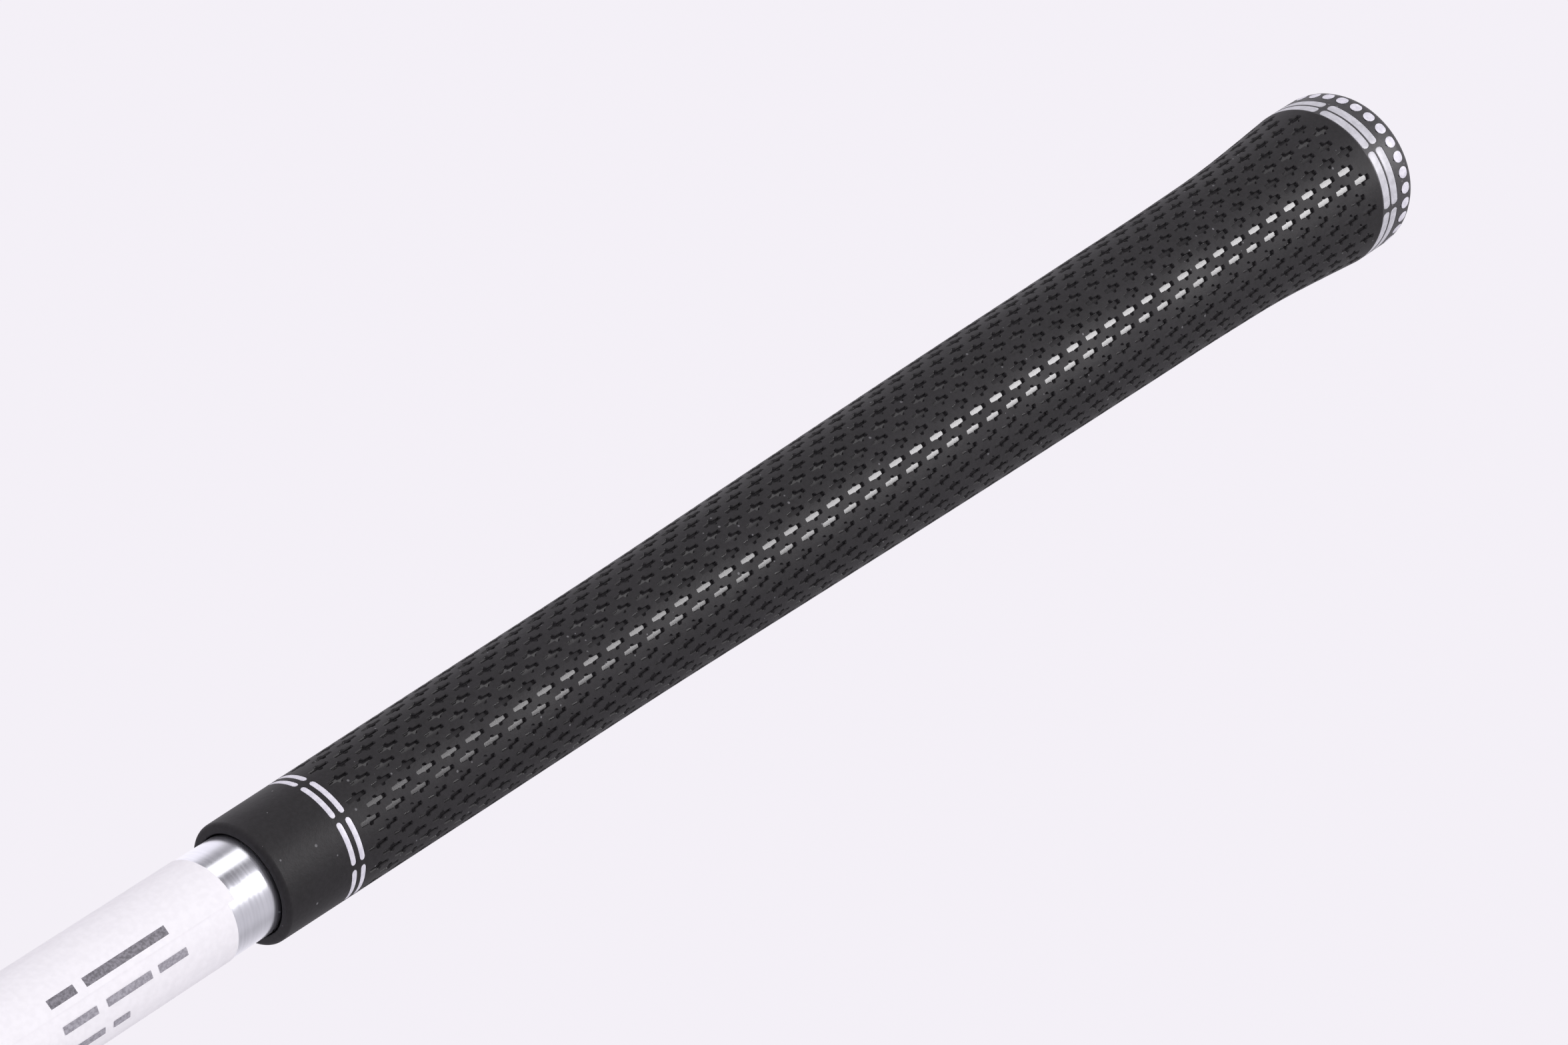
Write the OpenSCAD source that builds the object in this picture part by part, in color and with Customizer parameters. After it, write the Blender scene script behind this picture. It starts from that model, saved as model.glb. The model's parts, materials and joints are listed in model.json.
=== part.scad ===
// Fairway wood at address.
// The sole rests on z = 0 with its contact point at the origin, the face looks along -Y and the shaft leans
// towards +X (a right-handed club). Lengths along the shaft are measured on its axis from the ground, so 0 is
// where the axis meets z = 0.

/* [Club] */
// Playing length along the shaft axis, from the ground to the end of the grip cap
club_length = 1092; // [1060:1:1110]
// Lie angle between the ground and the shaft
lie = 57; // [55:0.5:60]
// Loft of the face
loft = 15; // [13:0.5:19]
// Distance of the shaft axis from the origin towards the heel, at the ground
axis_x = 24; // [22:0.5:27]
// Distance of the shaft axis in front of the origin
axis_y = 20; // [18:0.5:21]

/* [Head] */
// Half width of the head towards the heel
heel_half = 48; // [46:0.5:50]
// Half width of the head towards the toe
toe_half = 50; // [47:0.5:54]
// Depth of the head behind the origin
back_depth = 48; // [46:0.5:52]
// Depth that the outline would reach in front, before the face cuts it
front_depth = 46; // [44:0.5:48]
// Height of the crown's highest point
crown_height = 38; // [36:0.5:41]
// Wall thickness of the cast body
wall = 1.5; // [1.2:0.1:1.8]
// Thickness of the crown shell
crown_wall = 1.0; // [0.8:0.1:1.2]
// Bulge and roll radius of the face
face_radius = 300; // [260:5:330]
// Thickness of the face plate
face_wall = 2.2; // [1.8:0.1:2.6]
// Distance of the face from the origin, measured at half its height
face_reach = 31.6; // [31:0.1:32.5]
// Height of the middle of the face
face_mid = 19; // [18:0.5:20]

/* [Hosel] */
// Top face of the hosel, along the shaft axis
hosel_top = 58; // [57:0.5:60]
// Outer radius of the hosel at its top
hosel_r = 7.2; // [7.1:0.1:7.6]
// Radius of the hosel's bore
hosel_bore_r = 6; // [5.9:0.05:6.1]
// Radial running clearance of the adapter and of the screws in their bores
clearance = 0.05; // [0.02:0.01:0.08]
// Height of the indexing ring
ring_h = 5; // [4:0.5:6]
// Number of indexing lugs
lugs = 8; // [4:2:8]

/* [Shaft] */
// Radius of the shaft in its parallel butt section
butt_r = 7.62; // [7.4:0.01:7.7]
// Radius of the shaft at its tip
tip_r = 4.25; // [4.2:0.01:4.3]
// Length of the parallel butt section below the grip
butt_parallel = 110; // [105:5:150]
// Length of the parallel tip section
tip_parallel = 90; // [75:5:100]
// Wall thickness of the shaft at its butt
butt_tube_wall = 1.0; // [0.8:0.1:1.4]
// Wall thickness of the shaft at its tip
tip_tube_wall = 1.5; // [1.3:0.1:1.8]

/* [Grip] */
// Length of the grip from its mouth to the end of the cap
grip_length = 267; // [260:1:270]
// Radius of the grip at its mouth
grip_mouth_r = 9.35; // [9.2:0.05:9.6]
// Radius of the grip where the cap begins
grip_butt_r = 14.4; // [14:0.05:14.6]
// Length of the cap
cap_h = 12.5; // [12:0.5:14]
// Radius of the vent hole in the cap
vent_r = 1.7; // [1.5:0.1:2.2]
// Thickness of the tape under the grip
tape_wall = 0.17; // [0.1:0.01:0.25]

/* [Label] */
// Length of the label
label_length = 95; // [60:1:100]
// Gap between the label and the grip's mouth
label_gap = 5.5; // [4:0.5:8]
// Thickness of the label
label_wall = 0.12; // [0.1:0.01:0.2]

/* [Screws and weights] */
// Radius of the front weight
front_weight_r = 6.4; // [6:0.1:6.5]
// Radius of the rear weight
rear_weight_r = 8.9; // [8:0.1:9.5]
// Distance of the front weight in front of the origin
front_weight_y = 13.5; // [13:0.5:14]
// Distance of the rear weight behind the origin
rear_weight_y = 29; // [28:0.5:30]

/* [Hidden] */
$fn = 96;

// Stations along the shaft axis
grip_mouth = club_length - grip_length;
cap_start = club_length - cap_h;
shaft_end = club_length - 4;
seat_low = 16;
seat_high = 18.5;
sleeve_low = 19.5;
thread_end = 31;
tip_station = 34;
ring_low = hosel_top;
sleeve_shoulder = hosel_top + ring_h;
collar_top = sleeve_shoulder + 7;
ferrule_top = collar_top + 24;

// Grip: distance from the mouth and growth of the radius up to the cap
grip_swell = [
    [39, 0.33], [78, 0.65], [117, 1.39], [156, 2.1], [195, 2.6], [219, 2.92], [234, 3.4], [246, 4.3]
];
mouth_round = 0.5;
tape_gap = 4;
tape_end_gap = 2;

// Cap: rim height, corner radius, and the low dome between the corner and the vent
cap_rim_h = 4.5;
cap_round_r = 3.6;
cap_round_z = cap_h - 5.2;
cap_dome = [[grip_butt_r - 4.6, cap_h - 1.3], [6, cap_h - 0.25], [0, cap_h]];

// Insert in the butt of the shaft, and plug in its tip
insert_depth = 30;
insert_h = 16;
plug_h = 10;

// Ferrule: height of its trim ring, and its outline above that as height and radius
trim_h = 1.2;
ferrule_outline = [[8, hosel_r - 0.9], [15, hosel_r - 1.5], [23, tip_r + 0.75], [24, tip_r + 0.2]];

// Lugs of the indexing ring, and its mark
lug_w = 1.9;
lug_h = 1.3;
lug_inset = 0.15;
lug_gap = 0.12;
mark_r = 0.8;

// Hosel tube before boring, as station and radius
hosel_outline = [[1, 7.2], [22, 7.5], [32, 8], [41, 7.6], [50, hosel_r], [hosel_top, hosel_r]];

// Hosel screw
screw_head_r = 4.4;
screw_head_h = 4.5;
screw_r = 2.45;
washer_h = 1.5;
port_r = 5.4;
socket_r = 2.3;
socket_depth = 2.6;
screw_reach = 12;
screw_way = 0.75;
washer_gap = 0.3;
clip_w = 0.6;
clip_h = 0.9;

// Weights and their screws
weight_screw_r = 1.95;
weight_screw_head_r = 3.4;
weight_screw_head_h = 2.2;
head_recess = 0.2;
head_gap = 0.1;
core_wall = 1.8;
core_roof = 1.5;
front_weight_h = 3.8;
rear_weight_h = 4.8;
pad_h = 0.8;
pad_gap = 0.2;
weight_recess = 0.7;
weight_socket_r = 1.95;
weight_socket_depth = 1.6;
rear_tilt = 10;
rear_sole_z = 1;
boss_wall = 1.6;
pocket_gap = 0.1;
screw_depth = 6;
screw_end_gap = 1;

// Channel through the sole behind the face
channel_y = -25.5;
channel_w = 4.4;
channel_x0 = -32;
channel_x1 = 10;

// Head surface: rings of the angle f from the middle of the sole (-90) to the top of the crown (90)
around = 56;
sole_rings = 9;
crown_rings = 9;
sole_drop = 0.5;
waist_z = 16.5;
waist_swing = 3.5;
back_square = 0.96;
front_square = 0.8;
crown_round = 0.86;
sole_round = 0.62;
crown_rise = 1.22;
sole_rise = 1.1;
crown_shift = -7;
parting_z = 21;
parting_slope = 4.2;
crown_setback = 5;
ledge_w = 5;
ledge_wall = 1;
hosel_exit = 24;
boss_inset = 0.2;

function spow(v, e) = sign(v) * pow(abs(v), e);

// Height of the head's widest line at the angle a, lowest at the back
function waist(a) = waist_z - waist_swing * sin(a);

// A point of the head's outline at the angle a, moved inwards by g
function rim(a, g) =
    let (e = sin(a) > 0 ? back_square : front_square)
    [
        (cos(a) > 0 ? heel_half - g : toe_half - g) * spow(cos(a), e),
        (sin(a) > 0 ? back_depth - g : front_depth - g) * spow(sin(a), e)
    ];

// A point of the head's surface at the angle a round it and the height angle f, moved inwards by g
function skin(a, f, g) =
    let (
        rho = pow(cos(f), f > 0 ? crown_round : sole_round),
        p = rim(a, g),
        w = waist(a),
        z = f > 0
            ? w + (crown_height - g - w) * pow(sin(f), crown_rise)
            : w - (w + sole_drop - g) * pow(-sin(f), sole_rise),
        shift = f > 0 ? crown_shift * (1 - rho) : 0
    )
    [p[0] * rho, p[1] * rho + shift, z];

// Closed solid inside the whole head surface moved inwards by g
module blob(g) {
    levels = concat(
        [for (i = [1 : sole_rings]) -90 + 90 * i / (sole_rings + 1)],
        [for (i = [0 : crown_rings]) 90 * i / (crown_rings + 1)]
    );
    rows = len(levels);
    points = concat(
        [for (f = levels) for (j = [0 : around - 1]) skin(360 * j / around, f, g)],
        [skin(0, -90, g), skin(0, 90, g)]
    );
    low = rows * around;
    walls = [
        for (i = [0 : rows - 2]) for (j = [0 : around - 1])
            let (k = (j + 1) % around)
            each [
                [i * around + j, (i + 1) * around + j, i * around + k],
                [i * around + k, (i + 1) * around + j, (i + 1) * around + k]
            ]
    ];
    ends = [
        for (j = [0 : around - 1])
            let (k = (j + 1) % around)
            each [
                [low, j, k],
                [low + 1, (rows - 1) * around + k, (rows - 1) * around + j]
            ]
    ];
    polyhedron(points, concat(walls, ends), convexity = 4);
}

// A block whose flat underside is the crown's parting line, raised by h, and slopes down towards the back
module above_parting(h) {
    translate([0, 0, parting_z + h])
        rotate([-parting_slope, 0, 0])
            translate([-90, -90, 0])
                cube([180, 180, 60]);
}

// A ball of the face's curvature, centred behind the face, smaller by g
module face_ball(g) {
    translate([-1, -face_reach + face_radius * cos(loft), face_mid - face_radius * sin(loft)])
        sphere(r = face_radius - g, $fn = 128);
}

// Puts children on the shaft axis, at the station t
module on_axis(t) {
    translate([axis_x, -axis_y, 0])
        rotate([0, 90 - lie, 0])
            translate([0, 0, t])
                children();
}

module tube(r_out, r_in, h) {
    difference() {
        cylinder(r = r_out, h = h);
        translate([0, 0, -1])
            cylinder(r = r_in, h = h + 2);
    }
}

// Six-lobed key socket of the circle radius r
module lobe_socket(r, h) {
    linear_extrude(h) {
        circle(r = r * 0.78, $fn = 48);
        for (i = [0 : 5])
            rotate(60 * i)
                translate([r * 0.74, 0])
                    circle(r = r * 0.26, $fn = 24);
    }
}

module grip_sleeve() {
    inner = butt_r + tape_wall;
    end = cap_start - grip_mouth;
    color([0.13, 0.13, 0.14])
        on_axis(grip_mouth)
            rotate_extrude()
                polygon([
                    [inner, mouth_round],
                    [inner + mouth_round, 0],
                    [grip_mouth_r - mouth_round, 0],
                    [grip_mouth_r, mouth_round],
                    for (step = grip_swell) [grip_mouth_r + step[1], step[0]],
                    [grip_butt_r, end],
                    [inner, end]
                ]);
}

module grip_cap() {
    inner = butt_r + tape_wall;
    socket = shaft_end - cap_start;
    color([0.2, 0.2, 0.21])
        on_axis(cap_start)
            difference() {
                rotate_extrude()
                    polygon(concat(
                        [[0, 0], [grip_butt_r, 0], [grip_butt_r, cap_rim_h]],
                        [for (a = [0 : 15 : 75])
                            [grip_butt_r - cap_round_r + cap_round_r * cos(a), cap_round_z + cap_round_r * sin(a)]],
                        cap_dome
                    ));
                translate([0, 0, -1])
                    cylinder(r = inner, h = socket + 1);
                cylinder(r = vent_r, h = cap_h + 1);
            }
}

module grip_tape() {
    color([0.85, 0.83, 0.76])
        on_axis(grip_mouth + tape_gap)
            tube(butt_r + tape_wall, butt_r, shaft_end - grip_mouth - tape_gap - tape_end_gap);
}

module butt_insert() {
    color([0.3, 0.3, 0.32])
        on_axis(shaft_end - insert_depth)
            tube(butt_r - butt_tube_wall, vent_r, insert_h);
}

module shaft() {
    total = shaft_end - tip_station;
    taper_top = grip_mouth - butt_parallel - tip_station;
    color([0.75, 0.75, 0.78])
        on_axis(tip_station)
            rotate_extrude()
                polygon([
                    [tip_r - tip_tube_wall, 0],
                    [tip_r - 0.3, 0],
                    [tip_r, 0.3],
                    [tip_r, tip_parallel],
                    [butt_r, taper_top],
                    [butt_r, total],
                    [butt_r - butt_tube_wall, total],
                    [butt_r - butt_tube_wall, taper_top],
                    [tip_r - tip_tube_wall, tip_parallel]
                ]);
}

module shaft_label() {
    color([0.94, 0.93, 0.95])
        on_axis(grip_mouth - label_gap - label_length)
            tube(butt_r + label_wall, butt_r, label_length);
}

module tip_plug() {
    color([0.2, 0.2, 0.2])
        on_axis(tip_station)
            cylinder(r = tip_r - tip_tube_wall, h = plug_h);
}

module ferrule() {
    color([0.06, 0.06, 0.07])
        on_axis(collar_top)
            rotate_extrude()
                polygon([
                    [tip_r, trim_h],
                    [hosel_r - 0.6, trim_h],
                    for (p = ferrule_outline) [p[1], p[0]],
                    [tip_r, ferrule_top - collar_top]
                ]);
}

module ferrule_ring() {
    color([0.8, 0.8, 0.82])
        on_axis(collar_top)
            tube(hosel_r - 0.5, tip_r, trim_h);
}

// Lugs of the indexing ring, wider by w on each side and deeper by d
module ring_lugs(w, d) {
    intersection() {
        translate([0, 0, -lug_h - d])
            tube(hosel_r - lug_inset + w, hosel_bore_r + lug_inset - w, lug_h + d);
        union() {
            for (i = [0 : lugs / 2 - 1])
                rotate(360 * i / lugs)
                    translate([-hosel_r - 1, -lug_w / 2 - w, -lug_h - d - 0.5])
                        cube([2 * hosel_r + 2, lug_w + 2 * w, lug_h + d + 0.5]);
        }
    }
}

module adapter_ring() {
    color([0.1, 0.1, 0.11])
        on_axis(ring_low) {
            difference() {
                tube(hosel_r, hosel_bore_r - clearance, ring_h);
                translate([hosel_r, 0, ring_h / 2])
                    rotate([0, 90, 0])
                        cylinder(r = mark_r, h = mark_r, center = true);
            }
            ring_lugs(0, 0);
        }
}

module adapter_sleeve() {
    h = collar_top - sleeve_low;
    shoulder = sleeve_shoulder - sleeve_low;
    pocket = tip_station - sleeve_low;
    color([0.22, 0.22, 0.24])
        on_axis(sleeve_low)
            difference() {
                rotate_extrude()
                    polygon([
                        [0, 0],
                        [hosel_bore_r - clearance - 0.6, 0],
                        [hosel_bore_r - clearance, 0.6],
                        [hosel_bore_r - clearance, shoulder],
                        [hosel_r, shoulder],
                        [hosel_r, h - 1],
                        [hosel_r - 0.5, h],
                        [0, h]
                    ]);
                translate([0, 0, -1])
                    cylinder(r = screw_r + clearance, h = thread_end - sleeve_low + 1);
                translate([0, 0, pocket])
                    cylinder(r = tip_r, h = h);
            }
}

// Hosel tube inside and above the head, before it is bored
module hosel_blank() {
    on_axis(0)
        rotate_extrude()
            polygon([
                [0, hosel_outline[0][0]],
                for (p = hosel_outline) [p[1], p[0]],
                [0, hosel_top]
            ]);
}

// Puts children on the axis of the front weight, with z = 0 at the sole
module on_front_port() {
    translate([0, -front_weight_y, 0])
        children();
}

// Puts children on the axis of the rear weight, which is square to the sole there
module on_rear_port() {
    translate([0, rear_weight_y, rear_sole_z])
        rotate([rear_tilt, 0, 0])
            children();
}

// Blank of a weight port: a round boss whose pocket opens downwards, for a weight of radius r and height h
module port_blank(r, h) {
    depth = weight_recess + h + pad_h;
    translate([0, 0, -2])
        cylinder(r = r + pocket_gap + boss_wall, h = depth + 2 + boss_wall);
    cylinder(r = weight_screw_r + core_wall, h = depth + screw_depth + core_roof);
}

module port_bores(r, h) {
    depth = weight_recess + h + pad_h;
    translate([0, 0, -3])
        cylinder(r = r + pocket_gap, h = depth + 3);
    cylinder(r = weight_screw_r + clearance, h = depth + screw_depth);
}

// The slot through the sole behind the face
module channel_slot() {
    r = channel_w / 2;
    translate([0, channel_y, -1]) {
        translate([channel_x0, -r, 0])
            cube([channel_x1 - channel_x0, 2 * r, 8]);
        for (x = [channel_x0, channel_x1])
            translate([x, 0, 0])
                cylinder(r = r, h = 8);
    }
}

module sole_plane() {
    translate([-100, -100, -20])
        cube([200, 200, 20]);
}

module crown() {
    color([0.1, 0.12, 0.2])
        difference() {
            intersection() {
                blob(0);
                above_parting(0);
                face_ball(crown_setback);
            }
            blob(crown_wall);
            hosel_blank();
        }
}

// The step inside the body that the crown's edge is bonded to
module crown_ledge() {
    difference() {
        intersection() {
            blob(crown_wall);
            above_parting(-2);
            face_ball(crown_setback - 2);
        }
        blob(crown_wall + ledge_wall);
        intersection() {
            above_parting(ledge_w);
            face_ball(crown_setback + ledge_w);
        }
    }
}

module head_body() {
    color([0.62, 0.62, 0.65])
        difference() {
            union() {
                difference() {
                    intersection() {
                        blob(0);
                        face_ball(0);
                    }
                    blob(wall);
                    intersection() {
                        above_parting(0);
                        face_ball(crown_setback);
                    }
                }
                crown_ledge();
                intersection() {
                    blob(boss_inset);
                    face_ball(0);
                    union() {
                        on_front_port()
                            port_blank(front_weight_r, front_weight_h);
                        on_rear_port()
                            port_blank(rear_weight_r, rear_weight_h);
                        hosel_blank();
                    }
                }
                intersection() {
                    hosel_blank();
                    on_axis(hosel_exit)
                        cylinder(r = 12, h = hosel_top);
                }
            }
            on_front_port()
                port_bores(front_weight_r, front_weight_h);
            on_rear_port()
                port_bores(rear_weight_r, rear_weight_h);
            on_axis(-4)
                cylinder(r = port_r, h = seat_low + 4);
            on_axis(0)
                cylinder(r = screw_r + screw_way, h = seat_high + 1);
            on_axis(seat_high)
                cylinder(r = hosel_bore_r, h = hosel_top);
            on_axis(hosel_top)
                ring_lugs(lug_gap, lug_gap);
            channel_slot();
            sole_plane();
        }
}

module face_insert() {
    color([0.7, 0.7, 0.72])
        difference() {
            intersection() {
                blob(wall);
                face_ball(0);
            }
            face_ball(face_wall);
            hosel_blank();
        }
}

module channel_insert() {
    color([0.15, 0.15, 0.16])
        intersection() {
            difference() {
                blob(0);
                blob(wall);
                sole_plane();
            }
            channel_slot();
        }
}

module hosel_washer() {
    color([0.85, 0.85, 0.86])
        on_axis(seat_low - washer_h)
            tube(port_r - washer_gap, screw_r + clearance, washer_h);
}

module hosel_screw_clip() {
    color([0.1, 0.1, 0.1])
        on_axis(seat_low)
            tube(screw_r + clip_w, screw_r, clip_h);
}

module hosel_screw() {
    color([0.5, 0.5, 0.53])
        on_axis(seat_low - washer_h - screw_head_h)
            difference() {
                union() {
                    cylinder(r = screw_head_r, h = screw_head_h);
                    cylinder(r = screw_r, h = screw_head_h + washer_h + screw_reach);
                }
                translate([0, 0, -1])
                    lobe_socket(socket_r, socket_depth + 1);
            }
}

// A weight plate with a counterbored hole, its outer face recessed into the sole
module weight_plate(r, h) {
    translate([0, 0, weight_recess])
        difference() {
            cylinder(r = r, h = h);
            translate([0, 0, -1])
                cylinder(r = weight_screw_head_r + head_gap, h = 1 + head_recess + weight_screw_head_h);
            cylinder(r = weight_screw_r + clearance, h = h + 1);
        }
}

module weight_pad(r, h) {
    translate([0, 0, weight_recess + h])
        tube(r - pad_gap, weight_screw_r + clearance, pad_h);
}

// The screw of a weight plate of height h
module weight_screw(h) {
    translate([0, 0, weight_recess + head_recess])
        difference() {
            union() {
                cylinder(r = weight_screw_head_r, h = weight_screw_head_h);
                cylinder(r = weight_screw_r, h = h + pad_h + screw_depth - head_recess - screw_end_gap);
            }
            translate([0, 0, -1])
                lobe_socket(weight_socket_r, weight_socket_depth + 1);
        }
}

module front_weight() {
    color([0.35, 0.35, 0.38])
        on_front_port()
            weight_plate(front_weight_r, front_weight_h);
}

module front_weight_pad() {
    color([0.12, 0.12, 0.12])
        on_front_port()
            weight_pad(front_weight_r, front_weight_h);
}

module front_weight_screw() {
    color([0.6, 0.6, 0.62])
        on_front_port()
            weight_screw(front_weight_h);
}

module rear_weight() {
    color([0.35, 0.35, 0.38])
        on_rear_port()
            weight_plate(rear_weight_r, rear_weight_h);
}

module rear_weight_pad() {
    color([0.12, 0.12, 0.12])
        on_rear_port()
            weight_pad(rear_weight_r, rear_weight_h);
}

module rear_weight_screw() {
    color([0.6, 0.6, 0.62])
        on_rear_port()
            weight_screw(rear_weight_h);
}

grip_sleeve();
grip_cap();
grip_tape();
butt_insert();
shaft();
shaft_label();
tip_plug();
ferrule();
ferrule_ring();
adapter_ring();
adapter_sleeve();
head_body();
face_insert();
crown();
channel_insert();
hosel_washer();
hosel_screw_clip();
hosel_screw();
front_weight();
front_weight_pad();
front_weight_screw();
rear_weight();
rear_weight_pad();
rear_weight_screw();
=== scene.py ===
"""Fairway wood: the finish of every piece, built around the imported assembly.

All lengths are metres, angles are radians unless a name says degrees. The club stands on its sole at z = 0,
its face looks along -Y and its shaft leans towards +X. Places along the club are stations: distances from the
ground along the shaft's axis. A turn is the angle round that axis, from its upper side towards the face side.
"""

from __future__ import annotations

import json
import logging
import math
from collections.abc import Callable
from dataclasses import dataclass, field
from enum import Enum

import bpy
import numpy as np
from mathutils import Matrix

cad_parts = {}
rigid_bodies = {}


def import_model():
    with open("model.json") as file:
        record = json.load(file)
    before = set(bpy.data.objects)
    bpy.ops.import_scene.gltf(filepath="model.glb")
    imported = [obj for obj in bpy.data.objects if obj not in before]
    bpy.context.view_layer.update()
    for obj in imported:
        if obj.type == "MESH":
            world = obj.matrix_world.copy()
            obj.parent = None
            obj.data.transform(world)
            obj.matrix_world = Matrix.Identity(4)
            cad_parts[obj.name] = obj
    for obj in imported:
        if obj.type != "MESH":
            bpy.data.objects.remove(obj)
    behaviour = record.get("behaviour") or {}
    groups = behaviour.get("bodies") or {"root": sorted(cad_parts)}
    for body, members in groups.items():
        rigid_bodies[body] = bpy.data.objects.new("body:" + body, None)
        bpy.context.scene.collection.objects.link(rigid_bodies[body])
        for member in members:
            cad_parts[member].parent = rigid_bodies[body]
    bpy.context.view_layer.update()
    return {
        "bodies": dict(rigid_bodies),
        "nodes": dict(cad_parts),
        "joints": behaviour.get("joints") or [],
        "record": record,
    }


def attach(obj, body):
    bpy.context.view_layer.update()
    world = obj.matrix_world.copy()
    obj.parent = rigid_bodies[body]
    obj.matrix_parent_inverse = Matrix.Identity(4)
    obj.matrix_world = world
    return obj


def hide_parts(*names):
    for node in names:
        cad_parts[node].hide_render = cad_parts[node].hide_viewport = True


LOG = logging.getLogger("fairway_wood")
MM = 0.001
TAU = 2 * math.pi
TINY = 1e-12
ON_AXIS = 1e-9

# Lobes of a screw's socket; columns round the grip, four to a row of its pattern; dashes in a ring.
LOBES = 6
COLUMNS = 128
CELL = 4
CELL_ROWS = COLUMNS // CELL
DASHES = 8
DASH_CELL = COLUMNS // DASHES
DASH_SIDE = DASH_CELL + 1
PAINT_DEPTH = 0.29 * MM
BISECTIONS = 26
RING_STEPS = 96
SCREW_STEPS = 132
X_WAY, Z_WAY = np.array([1.0, 0.0, 0.0]), np.array([0.0, 0.0, 1.0])


# ---------------------------------------------------------------- places


@dataclass(frozen=True)
class Axis:
    """A line that round pieces are turned about.

    Attributes:
        origin: The point that stations are measured from.
        along: Unit vector along the line.
        first: Unit vector square to it, where turns start.
    """

    origin: np.ndarray
    along: np.ndarray
    first: np.ndarray

    @classmethod
    def of_shaft(cls, frame: dict) -> Axis:
        """Reads the shaft's axis, which points up the shaft, from the hosel screw's hinge.


        Returns:
            The axis, with its turns measured from the upper side towards the face side.
        """
        hinge = next(joint for joint in frame["joints"] if joint["name"] == "hosel_screw_turn")
        up = -unit(np.array(hinge["axis"], float))
        return cls(np.array(hinge["pos_m"], float), up, np.cross([0.0, -1.0, 0.0], up))

    def around(self, turn: np.ndarray) -> np.ndarray:
        """Gives the unit vector away from the axis at a turn."""
        turn = np.asarray(turn, float)[..., None]
        return np.cos(turn) * self.first + np.sin(turn) * np.cross(self.along, self.first)

    def place(self, station: np.ndarray, radius: np.ndarray, turn: np.ndarray) -> np.ndarray:
        """Puts cylinder coordinates into the frame: origin + station along + radius away at the turn.

        Args:
            station: Distance along the axis.
            radius: Distance from the axis.
            turn: Angle round the axis.

        Returns:
            The points, with x, y, z in the last dimension.
        """
        station, radius, turn = np.broadcast_arrays(station, radius, turn)
        return self.origin + station[..., None] * self.along + radius[..., None] * self.around(turn)


def unit(vectors: np.ndarray) -> np.ndarray:
    """Scales vectors to length 1."""
    return vectors / np.maximum(np.linalg.norm(vectors, axis=-1, keepdims=True), TINY)


def runs_along(points: np.ndarray) -> np.ndarray:
    """Gives the distance of each point of a line from its start, measured along the line."""
    return np.concatenate([[0], np.cumsum(np.linalg.norm(np.diff(points, axis=0), axis=1))])


# ---------------------------------------------------------------- meshes


@dataclass
class Batch:
    """Faces that have the same number of corners.

    Attributes:
        corners: Point numbers, one row a face.
        normals: The shading normal of each corner, or None where the mesh's own will do.
    """

    corners: np.ndarray
    normals: np.ndarray | None = None


def grid_quads(rows: int, cols: int, wrap_rows: bool = False, wrap_cols: bool = True) -> np.ndarray:
    """Numbers the quads of a grid of points that is stored row by row.

    Args:
        rows: Number of rows.
        cols: Points in a row.
        wrap_rows: Whether the last row joins the first.
        wrap_cols: Whether each row is a closed ring.

    Returns:
        Four point numbers a quad.
    """
    i = np.arange(rows if wrap_rows else rows - 1)[:, None]
    j = np.arange(cols if wrap_cols else cols - 1)[None, :]
    across, down = (j + 1) % cols, (i + 1) % rows
    corners = ((i, j), (i, across), (down, across), (down, j))
    return np.stack(np.broadcast_arrays(*(row * cols + col for row, col in corners)), -1).reshape(-1, 4)


def without_repeats(batch: Batch) -> list[Batch]:
    """Turns quads that use one point twice into triangles, and drops those with two such corners."""
    quads = batch.corners
    same = quads == np.roll(quads, -1, axis=1)
    repeats = same.sum(1)
    parts = [Batch(quads[repeats == 0], None if batch.normals is None else batch.normals[repeats == 0])]
    for corner in range(4):
        rows = (repeats == 1) & same[:, corner]
        keep = [c for c in range(4) if c != corner]
        if rows.any():
            normals = None if batch.normals is None else batch.normals[rows][:, keep]
            parts.append(Batch(quads[rows][:, keep], normals))
    return [part for part in parts if len(part.corners)]


def volume_of(points: np.ndarray, batches: list[Batch]) -> float:
    """Adds up the signed volumes of the pyramids from the origin to each face."""
    total = 0.0
    for batch in batches:
        p = points[batch.corners]
        for k in range(1, p.shape[1] - 1):
            total += np.einsum("ij,ij->", p[:, 0], np.cross(p[:, k], p[:, k + 1])) / 6
    return float(total)


def turned_round(batch: Batch) -> Batch:
    """Gives the batch with its faces looking the other way."""
    normals = None if batch.normals is None else batch.normals[:, ::-1]
    return Batch(batch.corners[:, ::-1], normals)


def put(name: str, data: bpy.types.ID, ways: tuple[np.ndarray, ...] = ()) -> bpy.types.Object:
    """Puts a new object into the scene.

    Args:
        name: Its name.
        data: Its mesh, lamp or camera.
        ways: Its x, y and z directions and its place, if it isn't to stay at the origin.

    Returns:
        The object.
    """
    thing = bpy.data.objects.new(name, data)
    if ways:
        thing.matrix_world = Matrix([*np.stack(ways, 1).tolist(), [0, 0, 0, 1]])
    bpy.context.scene.collection.objects.link(thing)
    return thing


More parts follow.
